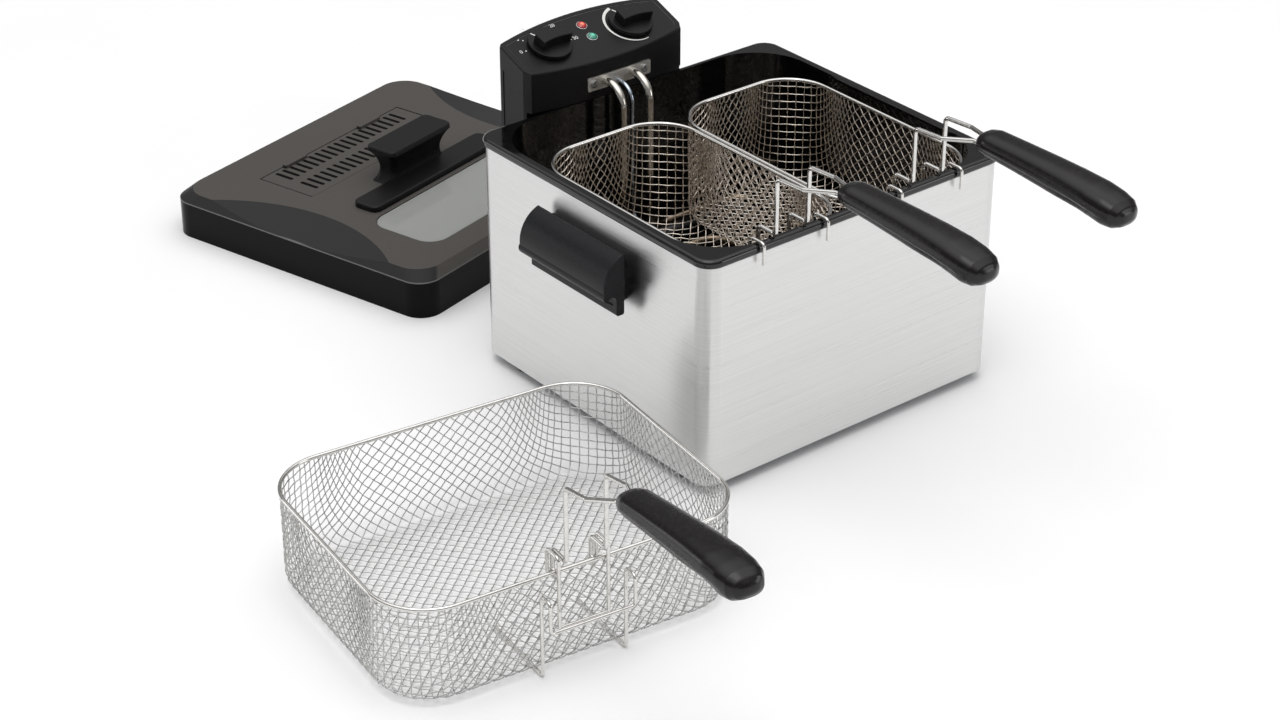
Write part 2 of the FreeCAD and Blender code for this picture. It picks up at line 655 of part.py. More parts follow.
def both_sides(half):
    """Points for the left half of a symmetrical wire, and the same points back on the right."""
    return half + [(-x, y, z) for x, y, z in reversed(half)]


def basket_mesh(width, depth, height, corner):
    outer = prism(width + MESH_T, depth + MESH_T, corner + MESH_T / 2,
                  -height, -RIM_WIRE_R - 0.05, 0, depth / 2)
    outer = round_at_z(outer, 12, -height)
    inner = prism(width - MESH_T, depth - MESH_T, corner - MESH_T / 2, MESH_T - height, 1, 0, depth / 2)
    inner = round_at_z(inner, 12 - MESH_T, MESH_T - height)
    return outer.cut(inner)


def basket_rim(width, depth, corner):
    return wire_ring(width, depth, corner, RIM_WIRE_R, 0).translated(Vector(0, depth / 2, 0))


def small_hooks():
    """One wire: two hooks over the tank's edge, joined low down inside the front wall."""
    half = [(-34, -13.5, -8), (-34, -13.5, 10.2), (-34, 3.4, 10.2), (-34, 3.4, -56)]
    return rod(both_sides(half), HOOK_WIRE_R, 3.6)


def small_bracket():
    return rod(both_sides([(-21, 3.4, -50), (-21, 3.4, PIVOT_Z), (-21, PIVOT_Y, PIVOT_Z)]), HOOK_WIRE_R, 3.5)


def large_hooks(height):
    """One wire: from under the floor, up the front, out into draining hooks joined by a cross length."""
    z = -height - HOOK_WIRE_R - 0.1
    return rod(both_sides([(-36, 70, z), (-36, -3.6, z), (-36, -3.6, -14), (-36, -17, -14), (-36, -17, -40)]),
               HOOK_WIRE_R, 3.6)


def large_bracket():
    top = LARGE_BRACKET_TOP
    legs = rod(both_sides([(-21, -3.4, -48), (-21, -3.4, top), (-21, PIVOT_Y, top), (-21, PIVOT_Y, PIVOT_Z)]),
               HOOK_WIRE_R, 3.5)
    return legs.fuse(cylinder(HOOK_WIRE_R, (-21, -3.4, -48), (21, -3.4, -48))).removeSplitter()


def raise_front(shape, rise, tilt):
    """Lifts what lies in front of the uprights, and tilts it up about their top bend."""
    turned = shape.rotated(Vector(0, HANDLE_TOP_Y, HANDLE_TOP_Z), X_AXIS, -tilt)
    return turned.translated(Vector(0, 0, rise))


def handle_wire(rise, tilt):
    front = [(-17, -38, 62), (-6.5, -64, 66.5), (-6.5, -112, 66)]
    half = [(-16.5, PIVOT_Y, PIVOT_Z + EYE_R), (-16.5, PIVOT_Y, 11), (-16.8, HANDLE_TOP_Y, 11),
            (-17, HANDLE_TOP_Y, HANDLE_TOP_Z + rise)]
    half += [tuple(raise_front(Part.Vertex(*point), rise, tilt).Point) for point in front]
    wire = rod(both_sides(half), HANDLE_WIRE_R, 4)
    eyes = [Part.makeTorus(EYE_R, 1.6, Vector(side * 16.5, PIVOT_Y, PIVOT_Z), X_AXIS) for side in (-1, 1)]
    return wire.fuse(eyes).removeSplitter()


def grip(wire, rise, tilt):
    """Moulded grip, flaring and then rounding off towards its end, moulded round the wire."""
    stations = [(0.0, 23, 16, 68), (0.06, 28, 20, 68), (0.45, 32, 24, 66), (0.78, 37, 27, 62.5),
                (0.93, 33, 24, 60), (0.985, 23, 15, 59), (1.0, 10, 6, 58.5)]
    wires = []
    for share, width, height, z in stations:
        section = rounded_outline(width, height, min(width, height) * 0.42, 0)
        section.rotate(Vector(), X_AXIS, 90)
        section.translate(Vector(0, GRIP_Y0 + (GRIP_Y1 - GRIP_Y0) * share, z))
        wires.append(section)
    return raise_front(loft(*wires), rise, tilt).cut(wire)


def basket(prefix, size, corner, hooks, bracket, place, rise=0.0, tilt=0.0):
    """All the pieces of one basket and its folding handle."""
    width, depth, height = size
    wire = handle_wire(rise, tilt)
    pieces = {
        "mesh": basket_mesh(width, depth, height, corner),
        "rim_wire": basket_rim(width, depth, corner),
        "hook_wire": hooks,
        "handle_bracket": bracket,
        "handle_wire": wire,
        "grip": grip(wire, rise, tilt),
    }
    for name, shape in pieces.items():
        placed = shape.copy()
        placed.Placement = place.multiply(shape.Placement)
        save(prefix + "_" + name, placed)


def small_place(x):
    return Placement(Vector(x, SMALL_FRONT_Y, SMALL_RIM_Z), Rotation())


def large_place():
    x, y, turn = LARGE_POSE
    about = Rotation(Z_AXIS, turn)
    rim_z = LARGE_H + 2 * HOOK_WIRE_R + 0.1
    return Placement(Vector(x, y, rim_z) - about.multVec(Vector(0, LARGE_D / 2, 0)), about)


# ---- lid ----
# Drawn about its own middle, rim down on z = 0, hinge side of the filter cover towards the handle.
WINDOW = (226.0, 80.0, 20.0, -82.0)         # width, depth, corner, middle y
FILTER = (206.0, 68.0, 1.5, 70.0)
COVER_T = 2.6
SLOT_PITCH, SLOTS_A_ROW = 9.4, 19


def lid_form(inset, drop):
    """Skirt and low crown with a scooped facet at each end, shrunk by an inset for the inside."""
    width, depth, radius = LID_W - 2 * inset, LID_D - 2 * inset, LID_R - inset
    knee, top = LID_SKIRT_H - drop, LID_TOP_Z - drop
    skirt = prism(width, depth, radius, -drop, knee)
    crown = Part.makeLoft([rounded_outline(width, depth, radius, knee),
                           rounded_outline(width - 16, depth - 16, radius + 4, top)], True, True)
    form = skirt.fuse(crown).removeSplitter()
    rise = LID_TOP_Z - LID_SKIRT_H
    for side in (-1, 1):
        middle = Vector(side * (LID_W / 2 - SCOOP_IN + SCOOP_R), 0, knee)
        form = form.cut(Part.makeCone(SCOOP_R - SCOOP_IN, SCOOP_R + SCOOP_IN / rise, rise + 1, middle))
    return form


def lid_shell():
    shell = lid_form(0, 0).cut(lid_form(LID_SKIN, LID_SKIN))
    width, depth, radius, y = FILTER
    tray = prism(width + 4, depth + 4, radius + 2, 28, LID_TOP_Z - 1, 0, y)
    tray = tray.cut(prism(width, depth, radius, 29.5, 60, 0, y))
    tray = tray.cut(prism(width - 16, depth - 16, radius, 20, 60, 0, y))
    shell = shell.cut(prism(width, depth, radius, 30, 60, 0, y)).fuse(tray).removeSplitter()
    width, depth, radius, y = WINDOW
    shell = shell.cut(prism(width, depth, radius, 30, 60, 0, y))
    return shell.cut([cylinder(2.2, (x, 0, 30), (x, 0, 60)) for x in (-22, 22)])


def lid_window():
    width, depth, radius, y = WINDOW
    return round_at_z(prism(width - 0.8, depth - 0.8, radius - 0.4, 40.2, 43.4, 0, y), 0.6, 43.4)


def window_seal():
    width, depth, radius, y = WINDOW
    ring = prism(width + 8, depth + 8, radius + 4, 38.0, 41.5, 0, y)
    ring = ring.cut(prism(width - 0.8, depth - 0.8, radius - 0.4, 40.2, 45, 0, y))
    return ring.cut(prism(width - 10, depth - 10, radius - 5, 30, 45, 0, y))


def lid_handle():
    """Waisted block on a long low ridge."""
    grip_block = loft(rounded_outline(84, 30, 6, LID_TOP_Z + 0.1), rounded_outline(73, 21, 6, 58),
                      rounded_outline(76, 24, 6, 66), rounded_outline(90, 35, 6, 77))
    cap = round_at_z(prism(90, 35, 6, 77, 82), 2, 82)
    ridge = round_at_z(prism(190, 30, 8, LID_TOP_Z + 0.1, LID_TOP_Z + 6, 0, -22), 2, LID_TOP_Z + 6)
    handle = grip_block.fuse([cap, ridge]).removeSplitter()
    return handle.cut([cylinder(1.8, (x, 0, 40), (x, 0, 58)) for x in (-22, 22)])


def lid_handle_screws():
    return group(pan_screw((x, 0, LID_TOP_Z - LID_SKIN), (0, 0, 1), 4, 2.4, 1.75, 14) for x in (-22, 22))


def filter_pad():
    width, depth, radius, y = FILTER
    return prism(width - 1, depth - 1, radius - 0.5, 29.6, 38.6, 0, y)


def filter_cover():
    """Slotted cover with a rounded hinge edge and two finger tabs."""
    width, depth, radius, y = FILTER
    plate = prism(width - 1, depth - 1, 1.0, LID_TOP_Z - COVER_T, LID_TOP_Z, 0, y)
    near = y - depth / 2 + 0.5
    edges = [e for e in plate.Edges if e.BoundBox.YMax < near + 0.01 and e.BoundBox.XLength > 100]
    plate = plate.makeFillet(COVER_T / 2 - 0.02, edges)
    slots = []
    for row in (y + 18, y - 14):
        for i in range(SLOTS_A_ROW):
            x = (i - (SLOTS_A_ROW - 1) / 2) * SLOT_PITCH
            slots.append(prism(4.2, 22, 2.0, 30, 60, x, row))
    tab_top = LID_TOP_Z + 3
    tabs = [prism(32, 5, 1.5, LID_TOP_Z - COVER_T, tab_top, x, y + depth / 2 - 3.2) for x in (-55, 55)]
    tabs = [round_at_z(tab, 0.8, tab_top) for tab in tabs]
    return plate.cut(slots).fuse(tabs).removeSplitter()


def save_on_lid(node, shape):
    x, y, turn = LID_POSE
    placed = shape.copy()
    placed.Placement = Placement(Vector(x, y, 0), Rotation(Z_AXIS, turn)).multiply(shape.Placement)
    save(node, placed)


def main():
    os.makedirs("parts", exist_ok=True)
    save("outer_housing", outer_housing())
    save("base_plate", base_plate())
    save("feet", feet())
    save("foot_screws", foot_screws())
    save("right_side_handle", right_side_handle())
    save("left_side_handle", mirrored_x(right_side_handle()))
    save("side_handle_screws", side_handle_screws())
    save("rear_rails", rear_rails())
    save("rail_rivets", rail_rivets())
    save("oil_tank", oil_tank())
    front, back = head_shells()
    save("head_front_shell", front)
    save("head_back_cover", back)
    save("case_screws", case_screws())
    save("control_panel", control_panel())
    save("power_lamp", lamp(POWER_LAMP_AT))
    save("ready_lamp", lamp(READY_LAMP_AT))
    save("timer_knob", knob_turned(TIMER_AT, TIMER_TURN))
    save("timer_shaft", control_shaft(TIMER_AT))
    save("timer_movement", timer_movement())
    save("thermostat_knob", knob_turned(THERMOSTAT_AT, THERMOSTAT_TURN))
    save("thermostat_shaft", control_shaft(THERMOSTAT_AT))
    save("thermostat_body", thermostat_body())
    save("element_bracket", element_bracket())
    save("bracket_screws", bracket_screws())
    save("heating_element", heating_element())
    save("thermostat_bulb", thermostat_bulb())
    save("bulb_clip", bulb_clip())
    save("interlock_switch", interlock_switch())
    save("power_inlet", power_inlet())
    save("inlet_pins", inlet_pins())
    save("thermal_cutout", thermal_cutout())
    save("reset_button", reset_button())
    small = (SMALL_W, SMALL_D, SMALL_H)
    for side, x in (("left", -SMALL_X), ("right", SMALL_X)):
        basket(side + "_basket", small, 42, small_hooks(), small_bracket(), small_place(x))
    large = (LARGE_W, LARGE_D, LARGE_H)
    basket("large_basket", large, 48, large_hooks(LARGE_H), large_bracket(), large_place(),
           LARGE_RISE, LARGE_TILT)
    save_on_lid("lid_shell", lid_shell())
    save_on_lid("lid_window", lid_window())
    save_on_lid("window_seal", window_seal())
    save_on_lid("lid_handle", lid_handle())
    save_on_lid("lid_handle_screws", lid_handle_screws())
    save_on_lid("filter_pad", filter_pad())
    save_on_lid("filter_cover", filter_cover())


main()
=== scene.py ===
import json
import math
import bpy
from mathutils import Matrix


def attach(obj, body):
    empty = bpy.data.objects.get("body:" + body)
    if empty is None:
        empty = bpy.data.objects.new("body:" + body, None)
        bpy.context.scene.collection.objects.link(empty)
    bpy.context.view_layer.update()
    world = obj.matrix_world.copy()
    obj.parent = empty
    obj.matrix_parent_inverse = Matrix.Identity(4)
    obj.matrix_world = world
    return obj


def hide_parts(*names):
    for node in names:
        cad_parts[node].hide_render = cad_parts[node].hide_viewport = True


bl_info = {
    "name": "Deep Fryer",
    "version": (1, 0, 0),
    "blender": (4, 5, 0),
    "location": "View3D > Sidebar > Deep Fryer",
    "description": "Looks of a steel deep fryer with woven baskets, a control head and a vented lid",
    "category": "Object",
}

import bmesh
import bpy
import numpy as np
from bpy.props import FloatProperty, FloatVectorProperty, IntProperty, PointerProperty
from mathutils import Matrix, Vector

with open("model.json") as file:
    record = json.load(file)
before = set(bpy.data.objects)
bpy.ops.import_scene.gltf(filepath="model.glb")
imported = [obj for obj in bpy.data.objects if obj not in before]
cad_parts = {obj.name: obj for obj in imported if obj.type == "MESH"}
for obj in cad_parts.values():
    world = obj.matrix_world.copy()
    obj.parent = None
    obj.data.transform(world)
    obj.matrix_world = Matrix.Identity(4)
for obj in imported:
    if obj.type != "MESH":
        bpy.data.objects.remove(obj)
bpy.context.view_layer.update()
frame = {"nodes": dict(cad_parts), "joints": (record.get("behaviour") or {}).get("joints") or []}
JOINTS = {joint["name"]: joint for joint in frame["joints"]}
MM = 0.001


# ---- colours and nodes ----
NOISE, CELLS = "ShaderNodeTexNoise", "ShaderNodeTexVoronoi"
FIELD_LOW, FIELD_HIGH = 0.3, 0.7        # a noise field stays mostly between these


def linear(code):
    """An sRGB hex colour as a linear RGBA tuple."""
    parts = [int(code[i:i + 2], 16) / 255 for i in (1, 3, 5)]
    return (*[c / 12.92 if c <= 0.04045 else ((c + 0.055) / 1.055) ** 2.4 for c in parts], 1.0)


def shaded(colour, factor):
    """A linear colour made lighter or darker, up to white."""
    return (*[min(1.0, c * factor) for c in colour[:3]], 1.0)


def add(tree, kind, inputs=(), **settings):
    """Adds a node. Settings are its properties; inputs are values, or the sockets that feed them."""
    node = tree.nodes.new(kind)
    for name, value in settings.items():
        setattr(node, name, value)
    for key, value in dict(inputs).items():
        if isinstance(value, bpy.types.NodeSocket):
            tree.links.new(value, node.inputs[key])
        else:
            node.inputs[key].default_value = value
    return node


def new_finish(name, colour, roughness, metallic=0.0, **sockets):
    """A material with one Principled shader; returns it with its tree and shader."""
    material = bpy.data.materials.new(name)
    material.use_nodes = True
    tree = material.node_tree
    shader = tree.nodes["Principled BSDF"]
    shader.inputs["Base Color"].default_value = colour
    shader.inputs["Roughness"].default_value = roughness
    shader.inputs["Metallic"].default_value = metallic
    for key, value in sockets.items():
        shader.inputs[key.replace("_", " ")].default_value = value
    return material, tree, shader


def pattern(tree, kind, size, **more):
    """A texture on Object coordinates. Size is a cell's in mm: one number, or three along X, Y and Z."""
    sizes = size if isinstance(size, tuple) else (size,) * 3
    place = add(tree, "ShaderNodeTexCoord")
    scale = [1 / (s * MM) for s in sizes]
    cells = add(tree, "ShaderNodeMapping", {"Vector": place.outputs["Object"], "Scale": scale})
    return add(tree, kind, {"Vector": cells.outputs[0], "Scale": 1.0, **more})


def vary(tree, shader, field, colours=None, rough=None, bump=None):
    """Feeds one 0..1 field to a shader's colour, roughness and bump (strength, and depth in metres)."""
    if colours:
        ramp = add(tree, "ShaderNodeValToRGB", {"Fac": field})
        for stop, colour, at in zip(ramp.color_ramp.elements, colours, (FIELD_LOW, FIELD_HIGH)):
            stop.color, stop.position = colour, at
        tree.links.new(ramp.outputs["Color"], shader.inputs["Base Color"])
    if rough:
        spread = add(tree, "ShaderNodeMapRange", {"Value": field, "From Min": FIELD_LOW,
                                                  "From Max": FIELD_HIGH, "To Min": rough[0],
                                                  "To Max": rough[1]})
        tree.links.new(spread.outputs[0], shader.inputs["Roughness"])
    if bump:
        relief = add(tree, "ShaderNodeBump", {"Height": field, "Strength": bump[0], "Distance": bump[1]})
        tree.links.new(relief.outputs[0], shader.inputs["Normal"])


# ---- finishes ----
def brushed_stainless():
    """Stainless sheet brushed along its length: long fine lines that spread highlights up and down."""
    finish = bpy.context.scene.fryer_finish
    material, tree, shader = new_finish("brushed_stainless_sheet", (*finish.steel, 1.0), 0.32, 1.0,
                                        Anisotropic=0.75, Anisotropic_Rotation=0.25)
    along = add(tree, "ShaderNodeTangent", direction_type="RADIAL", axis="Z")
    tree.links.new(along.outputs[0], shader.inputs["Tangent"])
    # Brushing leaves lines well under 1 mm apart. They are drawn 1 mm apart, or they wouldn't show.
    lines = pattern(tree, NOISE, (200, 200, 1), Detail=3.0)
    colours = (shaded(finish.steel, 0.95), shaded(finish.steel, 1.04))
    vary(tree, shader, lines.outputs["Fac"], colours, (0.27, 0.36), (0.03, 0.2 * MM))
    return material


def satin_stainless():
    """Stamped stainless with a fine satin, on small plates and clips."""
    material, tree, shader = new_finish("satin_stainless", linear("#d8d6d2"), 0.42, 1.0)
    grain = pattern(tree, NOISE, (5, 0.667, 0.667))
    colours = (linear("#cdcac5"), linear("#e4e2de"))
    vary(tree, shader, grain.outputs["Fac"], colours, (0.36, 0.5), (0.05, 0.1 * MM))
    return material


def galvanised_sheet():
    """Hot-dipped zinc: large dull crystals."""
    material, tree, shader = new_finish("galvanised_sheet", linear("#a9adb0"), 0.45, 1.0)
    spangle = pattern(tree, CELLS, 8.33)
    vary(tree, shader, spangle.outputs["Color"], (linear("#959a9d"), linear("#bcc0c3")), (0.36, 0.55))
    return material


def zinc_plated_steel():
    """Bright zinc on screws and rivets, with faint mottling."""
    material, tree, shader = new_finish("zinc_plated_steel", linear("#b9babb"), 0.3, 1.0)
    mottle = pattern(tree, NOISE, 1.11)
    vary(tree, shader, mottle.outputs["Fac"], (linear("#9fa0a2"), linear("#cdced0")), (0.22, 0.4))
    return material


def plated_brass():
    """Brass contact pins: warm yellow, bright from being drawn and plated."""
    material, tree, shader = new_finish("plated_brass", linear("#cba75a"), 0.28, 1.0)
    vary(tree, shader, pattern(tree, NOISE, 1.11).outputs["Fac"], rough=(0.2, 0.36))
    return material


def vitreous_enamel():
    """Glossy black glass coat on deep drawn steel: deep reflections over a slight ripple."""
    material, tree, shader = new_finish("vitreous_enamel", linear("#060606"), 0.1, Specular_IOR_Level=0.4,
                                        Coat_Weight=0.3, Coat_Roughness=0.04)
    ripple = pattern(tree, NOISE, 6.25)
    colours = (linear("#040404"), linear("#090909"))
    vary(tree, shader, ripple.outputs["Fac"], colours, (0.07, 0.15), (0.05, 0.4 * MM))
    return material


def moulded(name, dark, light, rough, grain=1.43, depth=0.1, **sockets):
    """Injection or compression moulded plastic with a fine grain from its tool; grain and depth are in mm."""
    material, tree, shader = new_finish(name, light, rough[0], **sockets)
    # A tool's grain is finer than 1 mm. It is drawn coarser here, or it wouldn't show.
    field = pattern(tree, NOISE, grain)
    vary(tree, shader, field.outputs["Fac"], (dark, light), rough, (0.22, depth * MM))
    return material


def satin_black_pbt():
    """Heat-proof PBT moulding: near black, satin from a spark-eroded tool."""
    return moulded("satin_black_pbt", linear("#0a0a0b"), linear("#121213"), (0.36, 0.5),
                   Specular_IOR_Level=0.25)


def charcoal_phenolic():
    """Compression moulded phenolic, a little lighter and rougher."""
    return moulded("charcoal_phenolic", linear("#151618"), linear("#1e1f21"), (0.34, 0.46), 2.0,
                   Specular_IOR_Level=0.22)


def brown_black_phenolic():
    """Phenolic grip: brown-black with a soft sheen that long use has polished."""
    return moulded("brown_black_phenolic", linear("#0b0908"), linear("#13100e"), (0.2, 0.29), 3.85, 0.04,
                   Specular_IOR_Level=0.4)


def nickel_wire(name, tint, rough):
    """Bright nickel plate on drawn wire; the plating clouds slightly along its length."""
    bright = linear(tint)
    material, tree, shader = new_finish(name, bright, rough, 1.0)
    cloud = pattern(tree, NOISE, 3.33)
    vary(tree, shader, cloud.outputs["Fac"], (shaded(bright, 0.85), bright), (rough * 0.8, rough * 1.6))
    return material


BROWNED, CLEAN = 0.09, 0.2      # heights (m) that the heating tube's browning fades out between


def polished_sheath():
    """Polished stainless heating tube, browned a little by hot oil lower down."""
    material, tree, shader = new_finish("polished_sheath", linear("#c9c5bd"), 0.16, 1.0)
    place = add(tree, "ShaderNodeTexCoord")
    height = add(tree, "ShaderNodeSeparateXYZ", {0: place.outputs["Object"]})
    clean = add(tree, "ShaderNodeMapRange", {"Value": height.outputs["Z"], "From Min": BROWNED,
                                             "From Max": CLEAN, "To Min": 0.15, "To Max": 0.9})
    vary(tree, shader, clean.outputs[0], (linear("#8d7f6e"), linear("#d4d0c8")))
    vary(tree, shader, pattern(tree, NOISE, 2.5).outputs["Fac"], rough=(0.12, 0.24))
    return material


GLOW_CORE, GLOW_EDGE = 0.4, 2.6     # mm from a lens's crown: full glow, and none


def signal_lens(name, body, glow, centre):
    """Clear tinted lens, bright over its neon and darker towards its edge."""
    material, tree, shader = new_finish(name, linear(body), 0.12, Coat_Weight=0.8, Coat_Roughness=0.05)
    place = add(tree, "ShaderNodeTexCoord")
    reach = add(tree, "ShaderNodeVectorMath", {0: place.outputs["Object"], 1: centre}, operation="DISTANCE")
    ramp = add(tree, "ShaderNodeMapRange", {"Value": reach.outputs["Value"], "From Min": GLOW_CORE * MM,
                                            "From Max": GLOW_EDGE * MM, "To Min": 1.0, "To Max": 0.0})
    shader.inputs["Emission Color"].default_value = linear(glow)
    tree.links.new(ramp.outputs[0], shader.inputs["Emission Strength"])
    return material


# Heights on the lid (mm): where the skirt ends and the crown begins, and the fold between them, which gets a
# painted highlight.
SKIRT_END, CROWN_START, HIGHLIGHT_FOLD = 35.2, 35.8, 35.7
HIGHLIGHT_CORE, HIGHLIGHT_EDGE = 0.4, 0.7     # mm from the fold: painted highlight at full, and none
FLAT_LEAN, SCOOP_LEAN = 0.07, 0.14  # how much the lid's flat top and its end scoops lean along its length


def lid_coat():
    """Satin grey-brown non-stick coat on the crown, with painted shade in its steeper end scoops; a gloss
    black rolled skirt with a painted highlight along its top fold.
    """
    finish = bpy.context.scene.fryer_finish
    material, tree, shader = new_finish("satin_lid_coat", (*finish.lid_top, 1.0), 0.4, Specular_IOR_Level=0.1)
    place = add(tree, "ShaderNodeTexCoord")
    height = add(tree, "ShaderNodeSeparateXYZ", {0: place.outputs["Object"]})
    crown = add(tree, "ShaderNodeMapRange", {"Value": height.outputs["Z"], "From Min": SKIRT_END * MM,
                                             "From Max": CROWN_START * MM}).outputs[0]
    grain = pattern(tree, NOISE, 1.25).outputs["Fac"]
    flecks = add(tree, "ShaderNodeMix", {"Factor": grain, 6: shaded(finish.lid_top, 0.85),
                                         7: shaded(finish.lid_top, 1.15)}, data_type="RGBA")
    # Painted shade: where the surface leans more along the lid's length, in the end scoops, the coat is
    # coloured darker.
    surface = add(tree, "ShaderNodeNewGeometry")
    lid_length = JOINTS["filter_cover_hinge"]["axis"]
    tip = add(tree, "ShaderNodeVectorMath", {0: surface.outputs["Normal"], 1: lid_length},
              operation="DOT_PRODUCT")
    lean = add(tree, "ShaderNodeMath", {0: tip.outputs["Value"]}, operation="ABSOLUTE")
    flat = add(tree, "ShaderNodeMapRange", {"Value": lean.outputs[0], "From Min": SCOOP_LEAN,
                                            "From Max": FLAT_LEAN})
    top = add(tree, "ShaderNodeMix", {"Factor": flat.outputs[0], 6: linear("#303031"),
                                      7: flecks.outputs[2]}, data_type="RGBA")
    colour = add(tree, "ShaderNodeMix", {"Factor": crown, 6: linear("#040405"), 7: top.outputs[2]},
                 data_type="RGBA")
    rough = add(tree, "ShaderNodeMix", {"Factor": crown, 2: 0.16, 3: 0.42}, data_type="FLOAT")
    # A painted highlight: a thin lighter line along the fold at the skirt's top.
    off_fold = add(tree, "ShaderNodeMath", {0: height.outputs["Z"], 1: HIGHLIGHT_FOLD * MM}, operation="SUBTRACT")
    away = add(tree, "ShaderNodeMath", {0: off_fold.outputs[0]}, operation="ABSOLUTE")
    painted_fold_highlight = add(tree, "ShaderNodeMapRange", {"Value": away.outputs[0], "From Min": HIGHLIGHT_EDGE * MM,
                                            "From Max": HIGHLIGHT_CORE * MM})
    edge = add(tree, "ShaderNodeMix", {"Factor": painted_fold_highlight.outputs[0], 6: colour.outputs[2],
                                       7: linear("#6f6f6e")}, data_type="RGBA")
    tree.links.new(edge.outputs[2], shader.inputs["Base Color"])
    tree.links.new(rough.outputs[0], shader.inputs["Roughness"])
    vary(tree, shader, grain, bump=(0.12, 0.1 * MM))
    return material


def tempered_glass():
    """Tempered soda-lime glass, slightly grey through its thickness."""
    material, tree, shader = new_finish("tempered_glass", linear("#c2c4c1"), 0.04, IOR=1.5,
                                        Transmission_Weight=0.45)
    vary(tree, shader, pattern(tree, NOISE, 25.0).outputs["Fac"], rough=(0.02, 0.08))
    return material


def charcoal_foam():
    """Open-cell carbon foam, about ten pores an inch: matt, full of small pits."""
    material, tree, shader = new_finish("charcoal_foam", linear("#2c2c2c"), 0.95)
    pit_depth_and_shade = pattern(tree, CELLS, 2.38)
    # Painted shade: the pits are coloured darker towards their bottoms, by the same field that sinks them.
    vary(tree, shader, pit_depth_and_shade.outputs["Distance"], (linear("#0d0d0d"), linear("#3a3a3a")), bump=(0.8, 1.0 * MM))
    return material


def soft_rubber(name, shade, rough):
    """Moulded rubber or silicone: dull, with a dusty grain."""
    dark = linear(shade)
    return moulded(name, dark, shaded(dark, 1.4), (rough, rough + 0.15), 1.11)


def printed_ink():
    """White pad-printed ink: dull and very slightly uneven."""
    material, tree, shader = new_finish("white_print", linear("#e9e9e6"), 0.55)
    patches = pattern(tree, NOISE, 0.667)
    vary(tree, shader, patches.outputs["Fac"], (linear("#d6d6d2"), linear("#f2f2ef")), (0.45, 0.65))
    return material


def dress(material, *nodes):
    """Gives carried-over nodes a finish in place of the one they came with."""
    for name in nodes:
        mesh = frame["nodes"][name].data
        mesh.materials.clear()
        mesh.materials.append(material)


# ---- pieces ----
def new_piece(name, vertices, faces, material, smooth=True):
    """A mesh piece whose place is in its points (m)."""
    mesh = bpy.data.meshes.new(name)
    mesh.from_pydata([tuple(v) for v in vertices], [], [tuple(f) for f in faces])
    if smooth:
        mesh.shade_smooth()
    mesh.materials.append(material)
    piece = bpy.data.objects.new(name, mesh)
    bpy.context.scene.collection.objects.link(piece)
    return piece


def made_plain(piece):
    """Turns a piece with live modifiers into a plain mesh of the same name."""
    graph = bpy.context.evaluated_depsgraph_get()
    mesh = bpy.data.meshes.new_from_object(piece.evaluated_get(graph))
    piece.modifiers.clear()
    old = piece.data
    piece.data = mesh
    mesh.name = piece.name
    if old.users == 0:
        bpy.data.meshes.remove(old)
    return piece


def closed_rings(rings):
    """Faces that join equal rings of points one after another, with both ends closed by a fan."""
    count = len(rings[0])
    points = [p for ring in rings for p in ring]
    faces = []
    for r in range(len(rings) - 1):
        for i in range(count):
            j = (i + 1) % count
            faces.append((r * count + i, r * count + j, (r + 1) * count + j, (r + 1) * count + i))
    for ring, first in ((rings[0], 0), (rings[-1], (len(rings) - 1) * count)):
        points.append(tuple(np.mean(np.array(ring), axis=0)))
        tip = len(points) - 1
        for i in range(count):
            pair = (first + i, first + (i + 1) % count)
            faces.append((tip, pair[1], pair[0]) if first == 0 else (tip, pair[0], pair[1]))
    return points, faces


def outward(piece):
    """Merges doubles and turns every face outwards."""
    work = bmesh.new()
    work.from_mesh(piece.data)
    bmesh.ops.remove_doubles(work, verts=work.verts, dist=1e-6)
    bmesh.ops.recalc_face_normals(work, faces=work.faces)
    work.to_mesh(piece.data)
    work.free()
    return piece


def hinge_frame(joint, local):
    """The place whose X is along a joint's axis, given the pivot's own place in it (mm)."""
    axis = Vector(joint["axis"])
    side = -axis if axis.x < 0 else axis
    ahead = Vector((0, 0, 1)).cross(side)
    turn = Matrix((side, ahead, (0, 0, 1))).transposed()
    origin = Vector(joint["pos_m"]) - turn @ (Vector(local) * MM)
    return Matrix.Translation(origin) @ turn.to_4x4()


HINGE_IN_BASKET = (0, 14, -10)      # mm, a handle's pivot from the middle of its basket's front rim


def basket_frame(prefix):
    """The place at the middle of a basket's front rim: Y into the basket, Z up."""
    return hinge_frame(JOINTS[prefix + "_handle_fold"], HINGE_IN_BASKET)


def convex_outline(spots):
    """The outermost of some flat points, in order."""
    spots = sorted(spots)
    halves = []
    for run in (spots, spots[::-1]):
        half = []
        for p in run:
            while len(half) > 1 and ((half[-1][0] - half[-2][0]) * (p[1] - half[-2][1])
                                     <= (half[-1][1] - half[-2][1]) * (p[0] - half[-2][0])):
                half.pop()
            half.append(p)
        halves += half[:-1]
    return halves


def closed_tube(name, path, radius, up, material, sides=10):
    """A round bead that follows a closed flat path."""
    up = Vector(up).normalized()
    count = len(path)
    points = []
    for i, spot in enumerate(path):
        ahead = (path[(i + 1) % count] - path[i - 1]).normalized()
        beside = ahead.cross(up).normalized()
        for j in range(sides):
            b = 2 * math.pi * j / sides
            points.append(spot + (beside * math.cos(b) + up * math.sin(b)) * radius)
    faces = [(i * sides + j, (i + 1) % count * sides + j, (i + 1) % count * sides + (j + 1) % sides,
              i * sides + (j + 1) % sides) for i in range(count) for j in range(sides)]
    return outward(new_piece(name, points, faces, material))


